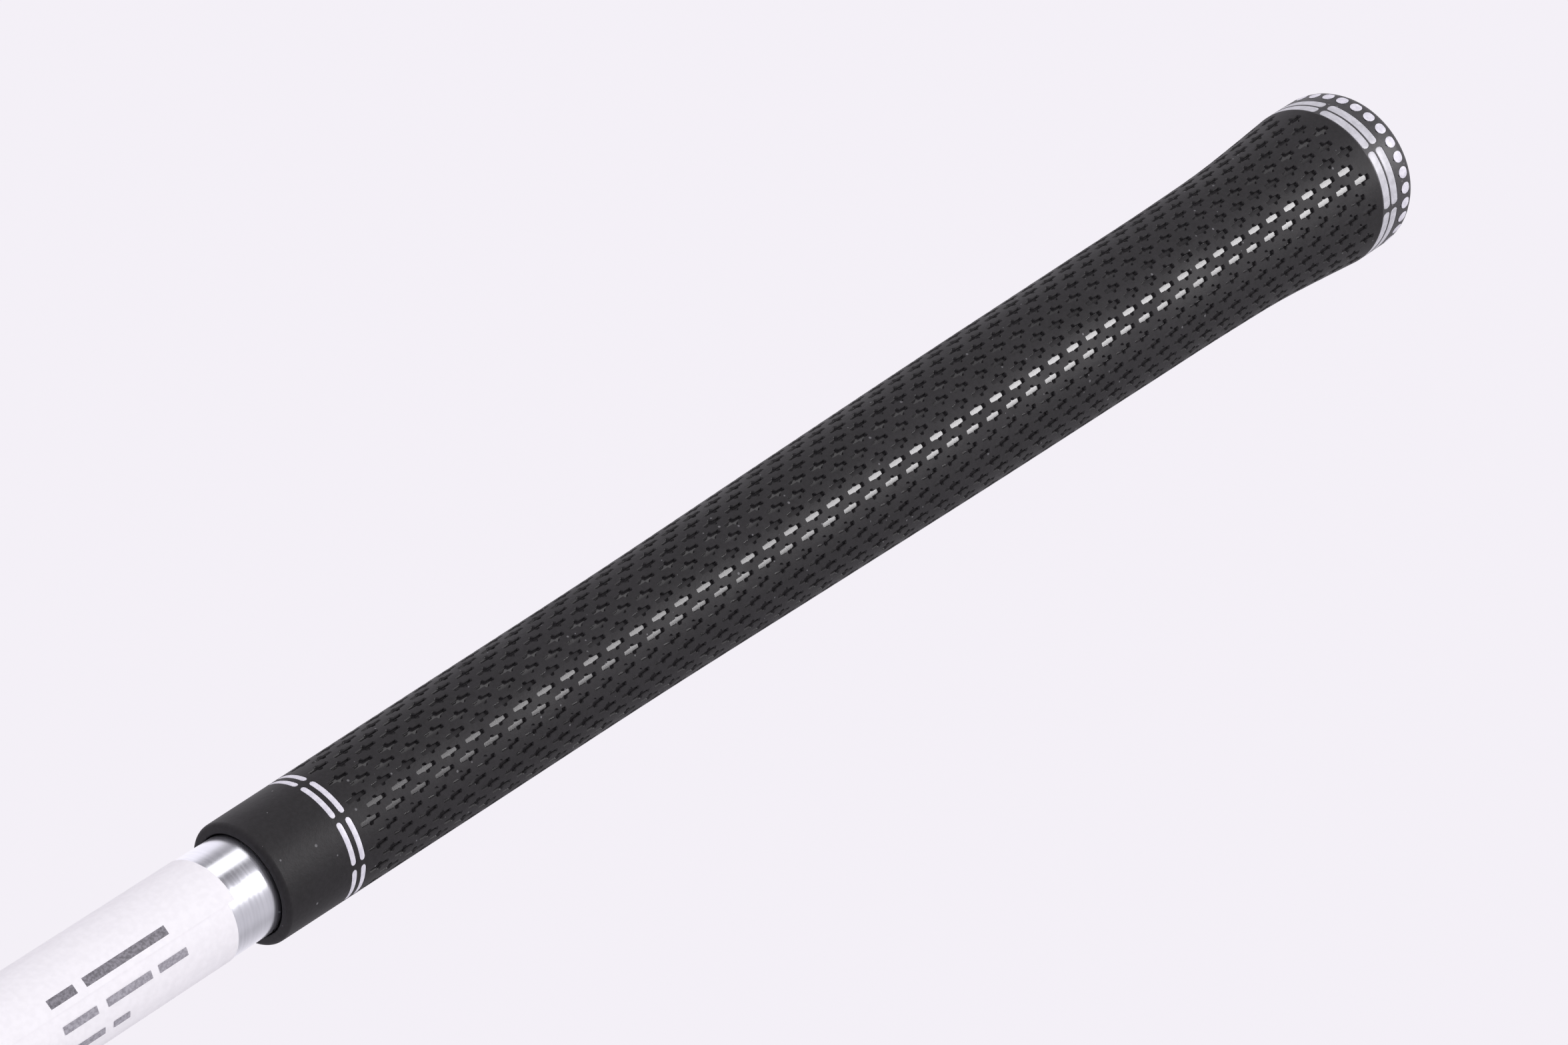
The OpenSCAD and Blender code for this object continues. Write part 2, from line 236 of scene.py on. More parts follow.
def make_piece(
    name: str,
    points: np.ndarray,
    batches: list[Batch],
    material: bpy.types.Material,
    sharp_degrees: float | None = 35.0,
    values: dict[str, np.ndarray] | None = None,
) -> bpy.types.Object:
    """Makes a closed piece from points and faces, with every face outwards.

    Args:
        name: The piece's name.
        points: Its points, one row each.
        batches: Its faces.
        material: Its finish.
        sharp_degrees: Edges sharper than this stay crisp. Not used where the faces bring their normals.
        values: Named numbers, one a point, for the material.

    Returns:
        The new object.
    """
    points = np.asarray(points, float).reshape(-1, 3)
    split = [without_repeats(batch) if batch.corners.shape[1] == 4 else [batch] for batch in batches]
    batches = [part for parts in split for part in parts]
    if volume_of(points, batches) < 0:
        batches = [turned_round(batch) for batch in batches]
    used, numbers = np.unique(np.concatenate([b.corners.ravel() for b in batches]), return_inverse=True)
    sizes = np.concatenate([np.full(len(b.corners), b.corners.shape[1]) for b in batches])
    mesh = bpy.data.meshes.new(name)
    mesh.vertices.add(len(used))
    mesh.vertices.foreach_set("co", points[used].astype(np.float32).ravel())
    mesh.loops.add(len(numbers))
    mesh.loops.foreach_set("vertex_index", numbers.astype(np.int32))
    mesh.polygons.add(len(sizes))
    mesh.polygons.foreach_set("loop_start", np.concatenate([[0], np.cumsum(sizes)[:-1]]).astype(np.int32))
    mesh.update(calc_edges=True)
    mesh.shade_smooth()
    for key, numbers_of in (values or {}).items():
        layer = mesh.attributes.new(key, "FLOAT", "POINT")
        layer.data.foreach_set("value", numbers_of[used].astype(np.float32))
    if batches[0].normals is not None:
        mesh.normals_split_custom_set(np.concatenate([b.normals.reshape(-1, 3) for b in batches]))
    elif sharp_degrees is not None:
        mesh.set_sharp_from_angle(angle=math.radians(sharp_degrees))
    mesh.materials.append(material)
    LOG.info("%s: %d points, %d faces", name, len(used), len(sizes))
    return put(name, mesh)


def rounded(corners: list[tuple[float, ...]], steps: int = 4) -> np.ndarray:
    """Rounds the corners of a closed outline, each with a parabola between points that far from the corner.

    Args:
        corners: (station, radius, rounding) or (station, radius, rounding, lobes) for each corner, in mm.
        steps: Points on each rounding.

    Returns:
        (station, radius, lobes) rows in metres.
    """
    table = np.array([tuple(corner) + (0.0,) * (4 - len(corner)) for corner in corners])
    rows = []
    for k, (station, radius, rounding, lobes) in enumerate(table):
        here = np.array([station, radius])
        if rounding <= 0:
            rows.append([*here, lobes])
            continue
        ends = []
        for other in (table[k - 1][:2], table[(k + 1) % len(table)][:2]):
            way = other - here
            length = np.linalg.norm(way)
            ends.append(here + way / length * min(rounding, length * 0.48))
        for t in np.linspace(0, 1, steps + 1):
            rows.append([*((1 - t) ** 2 * ends[0] + 2 * t * (1 - t) * here + t**2 * ends[1]), lobes])
    result = np.array(rows)
    result[:, :2] *= MM
    return result


def lathe(
    name: str,
    axis: Axis,
    outline: np.ndarray,
    material: bpy.types.Material,
    segments: int = 128,
) -> bpy.types.Object:
    """Turns an outline about an axis: the radius is the outline's, times 1 + lobes cos(6 turn).

    An outline whose ends are both on the axis closes there with a fan at each end. Any other outline is
    closed by joining its last point to its first.

    Args:
        name: The piece's name.
        axis: The axis that it is turned about.
        outline: (station, radius, lobes) rows.
        material: Its finish.
        segments: Steps round the axis.

    Returns:
        The new piece.
    """
    turn = np.arange(segments) * TAU / segments
    station, radius, lobes = outline.T[:, :, None]
    swell = radius * (1 + lobes * np.cos(LOBES * turn))
    poles = outline[0, 1] < ON_AXIS and outline[-1, 1] < ON_AXIS
    points = axis.place(station + 0 * turn, swell, turn)
    if not poles:
        return make_piece(name, points, [Batch(grid_quads(len(outline), segments, wrap_rows=True))], material)
    middle = points[1:-1]
    rows = len(middle)
    ring = np.arange(segments)
    after = (ring + 1) % segments
    low, high = rows * segments, rows * segments + 1
    last = (rows - 1) * segments
    fans = np.concatenate(
        [
            np.stack([np.full(segments, low), after, ring], -1),
            np.stack([np.full(segments, high), last + ring, last + after], -1),
        ]
    )
    both = np.concatenate([middle.reshape(-1, 3), points[:1, 0], points[-1:, 0]])
    return make_piece(name, both, [Batch(grid_quads(rows, segments)), Batch(fans)], material)


def tie(piece: bpy.types.Object, body: str, slot: str, *nodes: str) -> bpy.types.Object:
    """Puts a piece on the body that it rides on and hides the nodes that it stands for."""
    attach(piece, body)
    if nodes:
        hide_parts(*nodes)
    return piece


def through(knots: list[tuple[float, float]], at: np.ndarray) -> np.ndarray:
    """Runs a smooth curve through knots: cubic pieces whose slope at a knot is that between its neighbours.

    Args:
        knots: (place, value) pairs in rising order of place.
        at: The places to work out.

    Returns:
        The values there.
    """
    x, y = np.array(knots, float).T
    slope = np.gradient(y, x)
    k = np.clip(np.searchsorted(x, at) - 1, 0, len(x) - 2)
    width = x[k + 1] - x[k]
    t = np.clip((at - x[k]) / width, 0, 1)
    return (
        (2 * t**3 - 3 * t**2 + 1) * y[k]
        + (t**3 - 2 * t**2 + t) * width * slope[k]
        + (3 * t**2 - 2 * t**3) * y[k + 1]
        + (t**3 - t**2) * width * slope[k + 1]
    )


# ---------------------------------------------------------------- finishes


class Sheet:
    """A node tree with short ways to add nodes and join them."""

    def __init__(self, tree: bpy.types.NodeTree) -> None:
        """Takes the tree to write in."""
        self.tree = tree

    def add(self, kind: str, sockets: dict | None = None, **settings: object) -> bpy.types.Node:
        """Adds a node.

        Args:
            kind: The node's type.
            sockets: Input name or number to a value, or to the output socket that feeds it.
            settings: The node's own settings.

        Returns:
            The node.
        """
        node = self.tree.nodes.new(kind)
        for key, value in settings.items():
            setattr(node, key, value)
        for key, value in (sockets or {}).items():
            if isinstance(value, bpy.types.NodeSocket):
                self.tree.links.new(value, node.inputs[key])
            else:
                node.inputs[key].default_value = value
        return node

    def math(self, operation: str, *values: object) -> bpy.types.NodeSocket:
        """Adds a Math node and gives its output."""
        return self.add("ShaderNodeMath", dict(enumerate(values)), operation=operation).outputs[0]

    def between(
        self, value: object, low: float, high: float, to: tuple[float, float] = (0, 1)
    ) -> bpy.types.NodeSocket:
        """Maps a value from low..high to the range `to`, with soft ends."""
        sockets = {"Value": value, "From Min": low, "From Max": high, "To Min": to[0], "To Max": to[1]}
        return self.add("ShaderNodeMapRange", sockets, interpolation_type="SMOOTHSTEP").outputs["Result"]

    def tint(self, mask: object, first: tuple, second: tuple) -> bpy.types.NodeSocket:
        """Mixes two colours, or an output and a colour, by a mask."""
        mix = self.add("ShaderNodeMix", {"Factor": mask}, data_type="RGBA")
        for socket, value in zip((6, 7), (first, second)):
            if isinstance(value, bpy.types.NodeSocket):
                self.tree.links.new(value, mix.inputs[socket])
            else:
                mix.inputs[socket].default_value = (*value, 1.0)
        return mix.outputs[2]


class Effect(Enum):
    """The effects that more than one finish uses, each a node group."""

    GRAIN = "surface_grain"
    SMUDGE = "handling_smudge"
    SPECK = "dust_specks"
    BRUSH = "brushed_lines"


class EffectShelf:
    """Builds each effect's node group once."""

    def __init__(self) -> None:
        """Starts with an empty shelf."""
        self.built: dict[Effect, bpy.types.NodeTree] = {}

    def open_group(
        self, effect: Effect, inputs: dict[str, float], outputs: tuple[str, ...]
    ) -> tuple[Sheet, dict, dict]:
        """Starts a group with a Vector input, named number inputs and number outputs.

        Args:
            effect: The effect that it is for.
            inputs: Input name to its usual value.
            outputs: The output names.

        Returns:
            The group's sheet, its input sockets and its output sockets, by name.
        """
        group = bpy.data.node_groups.new(effect.value, "ShaderNodeTree")
        group.interface.new_socket("Vector", in_out="INPUT", socket_type="NodeSocketVector")
        for name, value in inputs.items():
            socket = group.interface.new_socket(name, in_out="INPUT", socket_type="NodeSocketFloat")
            socket.default_value = value
        for name in outputs:
            group.interface.new_socket(name, in_out="OUTPUT", socket_type="NodeSocketFloat")
        start = group.nodes.new("NodeGroupInput")
        end = group.nodes.new("NodeGroupOutput")
        self.built[effect] = group
        return Sheet(group), {s.name: s for s in start.outputs}, {s.name: s for s in end.inputs}

    @staticmethod
    def noise(sheet: Sheet, given: dict, scale: object, detail: float, **more: float) -> bpy.types.NodeSocket:
        """Adds a noise pattern on the group's vector and gives its value."""
        sockets = {"Vector": given["Vector"], "Scale": scale, "Detail": detail, **more}
        return sheet.add("ShaderNodeTexNoise", sockets).outputs[0]

    def grain(self) -> None:
        """Moulded or cast surface: coarse and fine noise, mixed into a height and a tone."""
        sheet, given, made = self.open_group(Effect.GRAIN, {"Scale": 900, "Fine": 5}, ("Height", "Tone"))
        coarse = self.noise(sheet, given, given["Scale"], 3.0)
        fine = self.noise(sheet, given, sheet.math("MULTIPLY", given["Scale"], given["Fine"]), 2.0)
        height = sheet.math("ADD", sheet.math("MULTIPLY", coarse, 0.6), sheet.math("MULTIPLY", fine, 0.4))
        sheet.tree.links.new(height, made["Height"])
        sheet.tree.links.new(sheet.between(coarse, 0.3, 0.7), made["Tone"])

    def smudge(self) -> None:
        """Where hands have been: large soft patches of noise broken up by smaller ones."""
        sheet, given, made = self.open_group(Effect.SMUDGE, {"Scale": 30}, ("Amount",))
        large = self.noise(sheet, given, given["Scale"], 5.0, Distortion=0.6)
        sheet.tree.links.new(sheet.between(large, 0.38, 0.66), made["Amount"])

    def speck(self) -> None:
        """Dust: a small dot in some cells of a Voronoi pattern, chosen by each cell's own random colour."""
        inputs = {"Scale": 400, "Share": 0.1, "Size": 0.2}
        sheet, given, made = self.open_group(Effect.SPECK, inputs, ("Mask",))
        cells = sheet.add("ShaderNodeTexVoronoi", {"Vector": given["Vector"], "Scale": given["Scale"]})
        chance = sheet.add("ShaderNodeSeparateColor", {0: cells.outputs["Color"]})
        chosen = sheet.math("LESS_THAN", chance.outputs[0], given["Share"])
        radius = sheet.math("MULTIPLY", chance.outputs[1], given["Size"])
        near = sheet.math("LESS_THAN", cells.outputs["Distance"], radius)
        sheet.tree.links.new(sheet.math("MULTIPLY", chosen, near), made["Mask"])

    def brush(self) -> None:
        """Brushed or turned metal: noise drawn out along one direction, which the Vector's scale sets."""
        sheet, given, made = self.open_group(Effect.BRUSH, {"Scale": 400}, ("Height", "Tone"))
        lines = self.noise(sheet, given, given["Scale"], 4.0)
        sheet.tree.links.new(lines, made["Height"])
        sheet.tree.links.new(sheet.between(lines, 0.35, 0.65), made["Tone"])

    def group(self, effect: Effect) -> bpy.types.NodeTree:
        """Gives an effect's group, and builds it if it is the first time."""
        if effect not in self.built:
            builders = {
                Effect.GRAIN: self.grain,
                Effect.SMUDGE: self.smudge,
                Effect.SPECK: self.speck,
                Effect.BRUSH: self.brush,
            }
            builders[effect]()
        return self.built[effect]


class MaterialSheet(Sheet):
    """A material's nodes: one Principled shader, and the object's own coordinates."""

    def __init__(self, name: str, shelf: EffectShelf) -> None:
        """Starts a material.

        Args:
            name: The finish's name.
            shelf: Where the effects come from.
        """
        self.material = bpy.data.materials.new(name)
        self.material.use_nodes = True
        super().__init__(self.material.node_tree)
        self.shelf = shelf
        self.shader = self.tree.nodes["Principled BSDF"]
        self.place = self.add("ShaderNodeTexCoord").outputs["Object"]

    def effect(self, effect: Effect, vector: object = None, **values: float) -> bpy.types.Node:
        """Adds an effect with its own values."""
        node = self.add("ShaderNodeGroup", node_tree=self.shelf.group(effect))
        self.tree.links.new(vector or self.place, node.inputs["Vector"])
        for key, value in values.items():
            node.inputs[key].default_value = value
        return node

    def along(self, axis: Axis, along: float, across: float) -> bpy.types.NodeSocket:
        """Gives coordinates that lie along and across an axis, each with its own scale."""
        parts = []
        first = axis.around(0.0)
        for way, scale in ((axis.along, along), (first, across), (np.cross(axis.along, first), across)):
            sockets = {0: self.place, 1: tuple(way * scale)}
            dot = self.add("ShaderNodeVectorMath", sockets, operation="DOT_PRODUCT")
            parts.append(dot.outputs["Value"])
        return self.add("ShaderNodeCombineXYZ", dict(enumerate(parts))).outputs[0]

    def set(self, **values: object) -> None:
        """Sets or feeds the shader's sockets; underscores stand for spaces."""
        for key, value in values.items():
            socket = self.shader.inputs[key.replace("_", " ")]
            if isinstance(value, bpy.types.NodeSocket):
                self.tree.links.new(value, socket)
            elif isinstance(value, tuple):
                socket.default_value = (*value, 1.0)
            else:
                socket.default_value = value

    def bump(self, height: object, strength: float, distance: float) -> None:
        """Feeds the shader's normal from a height."""
        sockets = {"Height": height, "Strength": strength, "Distance": distance}
        self.set(Normal=self.add("ShaderNodeBump", sockets).outputs[0])


@dataclass(frozen=True)
class Rubber:
    """Moulded rubber: matt and finely grained, smoother where `polish` is 1, with a little dust."""

    name: str
    dark: tuple[float, float, float]
    pale: tuple[float, float, float]
    rough: float = 0.62
    polished_rough: float = 0.22
    grain_scale: float = 1500
    bump: float = 0.25
    dust: float = 0.06

    def make(self, shelf: EffectShelf) -> bpy.types.Material:
        """Builds the material."""
        m = MaterialSheet(self.name, shelf)
        polish = m.add("ShaderNodeAttribute", attribute_name="polish").outputs["Fac"]
        grain = m.effect(Effect.GRAIN, Scale=self.grain_scale, Fine=3.0)
        smudge = m.effect(Effect.SMUDGE, Scale=60)
        dust = m.effect(Effect.SPECK, Scale=1300, Share=self.dust, Size=0.3)
        tones = (grain.outputs["Tone"], smudge.outputs[0])
        mottle = m.math("ADD", *(m.math("MULTIPLY", tone, 0.5) for tone in tones))
        colour = m.tint(mottle, self.dark, self.pale)
        open_land = m.math("SUBTRACT", 1.0, polish)
        dusty = m.math("MULTIPLY", m.math("MULTIPLY", dust.outputs[0], open_land), 0.5)
        m.set(Base_Color=m.tint(dusty, colour, (0.25, 0.25, 0.26)))
        worn = m.math("ADD", self.rough - 0.06, m.math("MULTIPLY", smudge.outputs[0], 0.12))
        rough = m.add("ShaderNodeMix", {"Factor": polish, 2: worn, 3: self.polished_rough})
        gloss = m.math("ADD", 0.3, m.math("MULTIPLY", polish, 0.2))
        m.set(Roughness=rough.outputs[0], Specular_IOR_Level=gloss)
        m.bump(m.math("MULTIPLY", grain.outputs["Height"], open_land), self.bump, 0.0002)
        return m.material


@dataclass(frozen=True)
class Paint:
    """Paint, print or plastic: two close tones, soft patches of gloss, and a clear coat on some."""

    name: str
    dark: tuple[float, float, float]
    pale: tuple[float, float, float]
    rough: float = 0.4
    grain_scale: float = 700
    bump: float = 0.05
    coat: float = 0.0
    coat_rough: float = 0.05
    flake: float = 0.0

    def make(self, shelf: EffectShelf) -> bpy.types.Material:
        """Builds the material."""
        m = MaterialSheet(self.name, shelf)
        grain = m.effect(Effect.GRAIN, Scale=self.grain_scale, Fine=4.0)
        smudge = m.effect(Effect.SMUDGE, Scale=45)
        colour = m.tint(grain.outputs["Tone"], self.dark, self.pale)
        if self.flake:
            sparkle = m.effect(Effect.SPECK, Scale=5200, Share=self.flake, Size=0.5)
            bright = tuple(min(1.0, 4 * c + 0.05) for c in self.pale)
            colour = m.tint(m.math("MULTIPLY", sparkle.outputs[0], 0.6), colour, bright)
        m.set(Base_Color=colour, Coat_Weight=self.coat, Coat_Roughness=self.coat_rough)
        m.set(Roughness=m.between(smudge.outputs[0], 0, 1, (self.rough - 0.04, self.rough + 0.06)))
        m.bump(grain.outputs["Height"], self.bump, 0.0001)
        return m.material


@dataclass(frozen=True)
class Metal:
    """Metal that is brushed or turned: lines along or round an axis, and smudged gloss."""

    name: str
    axis: Axis
    dark: tuple[float, float, float]
    pale: tuple[float, float, float]
    rough: float = 0.28
    line_along: float = 1.0
    line_across: float = 0.06
    line_scale: float = 3000
    bump: float = 0.04

    def make(self, shelf: EffectShelf) -> bpy.types.Material:
        """Builds the material."""
        m = MaterialSheet(self.name, shelf)
        vector = m.along(self.axis, self.line_along, self.line_across)
        lines = m.effect(Effect.BRUSH, vector, Scale=self.line_scale)
        smudge = m.effect(Effect.SMUDGE, Scale=38)
        m.set(Base_Color=m.tint(lines.outputs["Tone"], self.dark, self.pale), Metallic=1.0)
        patchy = m.math("ADD", self.rough - 0.03, m.math("MULTIPLY", smudge.outputs[0], 0.08))
        fine = m.math("MULTIPLY", lines.outputs["Tone"], 0.04)
        m.set(Roughness=m.math("ADD", patchy, fine))
        m.bump(lines.outputs["Height"], self.bump, 0.0001)
        return m.material


class Palette:
    """Every finish on the club, made when it is first asked for."""

    def __init__(self, axis: Axis) -> None:
        """Lists the finishes.

        Args:
            axis: The shaft's axis, which the metals' lines follow.
        """
        upright = Axis(np.zeros(3), Z_WAY, X_WAY)
        crosswise = Axis(np.zeros(3), X_WAY, np.array([0.0, 1.0, 0.0]))
        self.shelf = EffectShelf()
        self.made: dict[str, bpy.types.Material] = {}
        finishes = (
            Rubber("grip_rubber", (0.0125, 0.0115, 0.0125), (0.022, 0.0205, 0.0225), polished_rough=0.24),
            Rubber("cap_rubber", (0.05, 0.049, 0.052), (0.075, 0.073, 0.076), 0.5, 0.4, bump=0.15),
            Paint("mark_paint", (0.66, 0.65, 0.72), (0.8, 0.79, 0.85), 0.42, 1200, 0.25),
            Paint("cap_paint", (0.5, 0.5, 0.53), (0.62, 0.62, 0.66), 0.38, 900, 0.2),
            Paint("paper", (0.89, 0.88, 0.9), (0.93, 0.92, 0.94), 0.7, 1100, 0.08),
            Paint("label_ink", (0.12, 0.115, 0.13), (0.26, 0.25, 0.28), 0.6, 2600, 0.05),
            Paint("label_ink_light", (0.26, 0.25, 0.28), (0.42, 0.41, 0.45), 0.6, 2600, 0.05),
            Metal("shaft_silver", axis, (0.8, 0.81, 0.86), (0.85, 0.86, 0.91), 0.23, 1.0, 0.05, 2600, 0.006),
            Paint("tape", (0.6, 0.57, 0.5), (0.7, 0.67, 0.6), 0.7),
            Paint("foam", (0.05, 0.05, 0.055), (0.09, 0.09, 0.1), 0.9, 500, 0.6),
            Paint("gloss_black", (0.006, 0.006, 0.007), (0.01, 0.01, 0.011), 0.25, 500, 0.02, 1.0, 0.03),
            Metal("trim", axis, (0.75, 0.75, 0.77), (0.86, 0.86, 0.88), 0.16),
            Metal("adapter_grey", axis, (0.1, 0.1, 0.11), (0.16, 0.16, 0.17), 0.34, 1.0, 0.05, 2400, 0.08),
            Paint("ring_black", (0.01, 0.01, 0.011), (0.018, 0.018, 0.02), 0.4, 1400, 0.2),
            Metal("head_steel", crosswise, (0.3, 0.3, 0.315), (0.4, 0.4, 0.415), 0.3, 0.05, 1.0, 2600, 0.08),
            Metal("face_steel", crosswise, (0.4, 0.4, 0.41), (0.52, 0.52, 0.53), 0.36, 0.04, 1.0, 3600, 0.16),
            Paint(
                "crown_paint", (0.004, 0.0045, 0.006), (0.007, 0.008, 0.011), 0.3, 400, 0.01, 1.0, 0.02, 0.25
            ),
            Paint("elastomer", (0.012, 0.012, 0.013), (0.022, 0.022, 0.023), 0.6, 1500, 0.3),
            Metal("screw_steel", upright, (0.5, 0.5, 0.52), (0.62, 0.62, 0.64), 0.24, 0.06, 1.0, bump=0.06),
            Metal("weight_metal", upright, (0.22, 0.22, 0.23), (0.32, 0.32, 0.33), 0.27, 0.06, 1.0, bump=0.08),
        )
        self.finishes = {finish.name: finish for finish in finishes}

    def __getitem__(self, name: str) -> bpy.types.Material:
        """Gives a finish's material."""
        if name not in self.made:
            self.made[name] = self.finishes[name].make(self.shelf)
        return self.made[name]


# ---------------------------------------------------------------- studio


@dataclass
class Studio:
    """Camera, light and floor round the club.

    Attributes:
        axis: The shaft's axis, which the camera's place is given from.
        camera_turn_degrees: How far round the shaft the camera stands.
        camera_station: Where along the shaft it stands.
        camera_distance: How far from the axis it stands.
        aim_station: Where along the shaft it looks.
        aim_aside: How far beside the axis it looks.
        shaft_slope_degrees: How steeply the shaft rises in the picture.
        lens_mm: The camera's focal length, for a sensor that is sensor_mm wide.
        glint_lean_degrees: The lean of the narrow lamp from the shaft, and glint_turn_degrees its turn.
        floor_drop: How far the floor is below the sole, so that a head taken off stays above it.
        floor_half: Half the floor's width.
    """

    axis: Axis
    camera_turn_degrees: float = 35.0
    camera_station: float = 483.03 * MM
    camera_distance: float = 541.65 * MM
    aim_station: float = 940.6 * MM
    aim_aside: float = -1.26 * MM
    shaft_slope_degrees: float = 32.93
    lens_mm: float = 107.9
    sensor_mm: float = 36.0
    glint_lean_degrees: float = 47.5
    glint_turn_degrees: float = 13.0
    floor_drop: float = 60 * MM
    floor_half: float = 9.0

    @property
    def camera_turn(self) -> float:
        """The camera's turn round the shaft."""
        return math.radians(self.camera_turn_degrees)

    def direction(self, lean_degrees: float, turn_degrees: float) -> np.ndarray:
        """Gives a direction that leans away from the shaft's own, at a turn measured from the camera's."""
        lean, turn = math.radians(lean_degrees), math.radians(turn_degrees)
        return math.cos(lean) * self.axis.along + math.sin(lean) * self.axis.around(self.camera_turn + turn)

    def camera(self) -> None:
        """Places the camera, which looks at the axis with the shaft at its slope in the picture."""
        place = self.axis.place(self.camera_station, self.camera_distance, self.camera_turn)
        beside = self.axis.around(self.camera_turn + TAU / 4)
        aim = self.axis.place(self.aim_station, 0.0, 0.0) + self.aim_aside * beside
        forward = unit(aim - place)
        shaft = unit(self.axis.along - (self.axis.along @ forward) * forward)
        square = np.cross(shaft, forward)
        slope = math.radians(self.shaft_slope_degrees)
        right = math.cos(slope) * shaft - math.sin(slope) * square
        up = math.sin(slope) * shaft + math.cos(slope) * square
        data = bpy.data.cameras.new("camera")
        data.lens, data.sensor_width = self.lens_mm, self.sensor_mm
        data.clip_start, data.clip_end = 0.01, 100
        bpy.context.scene.camera = put("camera", data, (right, up, -forward, place))

    def lamp(
        self, name: str, towards: np.ndarray, size: tuple[float, float], radiance: float, distance: float
    ) -> None:
        """Adds a soft box that looks at the grip.

        Args:
            name: Its name.
            towards: The direction from the grip to it.
            size: Its size round the shaft, and square to that.
            radiance: How bright its face is.
            distance: How far away it stands.
        """
        data = bpy.data.lights.new(name, "AREA")
        data.shape, data.size, data.size_y = "RECTANGLE", size[0], size[1]
        data.energy = radiance * math.pi * size[0] * size[1]
        data.color = (1.0, 0.985, 1.0)
        towards = unit(towards)
        place = self.axis.place(self.aim_station, 0.0, 0.0) + towards * distance
        first = unit(np.cross(self.axis.along, towards))
        put(name, data, (first, np.cross(towards, first), towards, place)).visible_camera = False

    def world(self) -> None:
        """Makes a pale surround, darker behind the camera, with two patches that the shaft mirrors."""
        world = bpy.data.worlds.new("surround")
        world.use_nodes = True
        bpy.context.scene.world = world
        sheet = Sheet(world.node_tree)
        back = world.node_tree.nodes["Background"]
        way = sheet.add("ShaderNodeTexCoord").outputs["Generated"]

        def facing(direction: np.ndarray) -> bpy.types.NodeSocket:
            """Gives the cosine between the way looked in and a direction."""
            sockets = {0: way, 1: tuple(unit(direction))}
            return sheet.add("ShaderNodeVectorMath", sockets, operation="DOT_PRODUCT").outputs["Value"]

        beyond = facing(self.direction(140, 180) + self.direction(90, -90) * 0.55)
        level = sheet.between(beyond, -1.0, 0.45, (0.42, 1.16))
        patch = sheet.between(facing(self.direction(50, -60)), 0.72, 0.96, (1.0, 0.34))
        glow = sheet.between(facing(self.direction(58, 54)), 0.76, 0.98, (1.0, 1.5))
        lit = sheet.math("MULTIPLY", sheet.math("MULTIPLY", level, patch), glow)
        seen = sheet.add("ShaderNodeLightPath").outputs["Is Camera Ray"]
        strength = sheet.add("ShaderNodeMix", {"Factor": seen, 2: lit, 3: 0.93})
        world.node_tree.links.new(strength.outputs[0], back.inputs["Strength"])
        back.inputs["Color"].default_value = (0.972, 0.938, 1.0, 1.0)

    def floor(self, palette: Palette) -> None:
        """Lays a large pale floor with a slightly mottled, matt surface."""
        ticks = np.linspace(-self.floor_half, self.floor_half, 13)
        x, y = np.meshgrid(ticks, ticks)
        points = np.stack([x, y, np.full_like(x, -self.floor_drop)], -1)
        mesh = bpy.data.meshes.new("floor")
        quads = grid_quads(len(ticks), len(ticks), wrap_cols=False)
        mesh.from_pydata(points.reshape(-1, 3).tolist(), [], quads.tolist())
        m = MaterialSheet("floor_card", palette.shelf)
        grain = m.effect(Effect.GRAIN, Scale=3.0, Fine=90.0)
        m.set(Base_Color=m.tint(grain.outputs["Tone"], (0.78, 0.765, 0.8), (0.8, 0.785, 0.82)), Roughness=0.8)
        mesh.materials.append(m.material)
        put("floor", mesh)

    def build(self, palette: Palette) -> None:
        """Sets the whole studio up."""
        bpy.context.scene.view_settings.view_transform = "Standard"
        self.camera()
        glint = self.direction(self.glint_lean_degrees, self.glint_turn_degrees)
        self.lamp("glint_box", glint, (1.25, 0.62), 22.0, 3.0)
        self.lamp("top_box", np.array([-0.5, 0.35, 1.0]), (1.6, 1.6), 1.6, 3.5)
        self.world()
        self.floor(palette)


# ---------------------------------------------------------------- grip


@dataclass
class MouldedSkin:
    """The outside of a turned rubber part, with a net of places on it.

    A place is (run, column): the run is the distance along the outline from its start, and the columns are
    quarter rows of the moulded pattern.

    Attributes:
        axis: The shaft's axis.
        outline: (station, radius) rows, evenly spaced along the outline.
        first_turn: The turn of column 0.
    """

    axis: Axis
    outline: np.ndarray
    first_turn: float

    def __post_init__(self) -> None:
        """Works out the run of each outline point, and the outward normal there."""
        self.runs = runs_along(self.outline)
        tangent = unit(np.gradient(self.outline, self.runs, axis=0))
        self.outward = np.stack([-tangent[:, 1], tangent[:, 0]], 1)

    def sample(self, table: np.ndarray, run: np.ndarray) -> tuple[np.ndarray, np.ndarray]:
        """Reads the two columns of a table at a run."""
        return np.interp(run, self.runs, table[:, 0]), np.interp(run, self.runs, table[:, 1])

    def at(self, run: np.ndarray, column: np.ndarray, depth: float = 0.0) -> np.ndarray:
        """Gives the point at a place, sunk by a depth square to the skin."""
        run, column = np.broadcast_arrays(np.asarray(run, float), np.asarray(column, float))
        station, radius = self.sample(self.outline, run)
        along, away = self.sample(self.outward, run)
        turn = self.first_turn + column / COLUMNS * TAU
        return self.axis.place(station - depth * along, radius - depth * away, turn)

    def normal(self, run: np.ndarray, column: np.ndarray) -> np.ndarray:
        """Gives the outward normal at a place."""
        run, column = np.broadcast_arrays(np.asarray(run, float), np.asarray(column, float))
        along, away = self.sample(self.outward, run)
        turn = self.first_turn + column / COLUMNS * TAU
        return unit(along[..., None] * self.axis.along + away[..., None] * self.axis.around(turn))


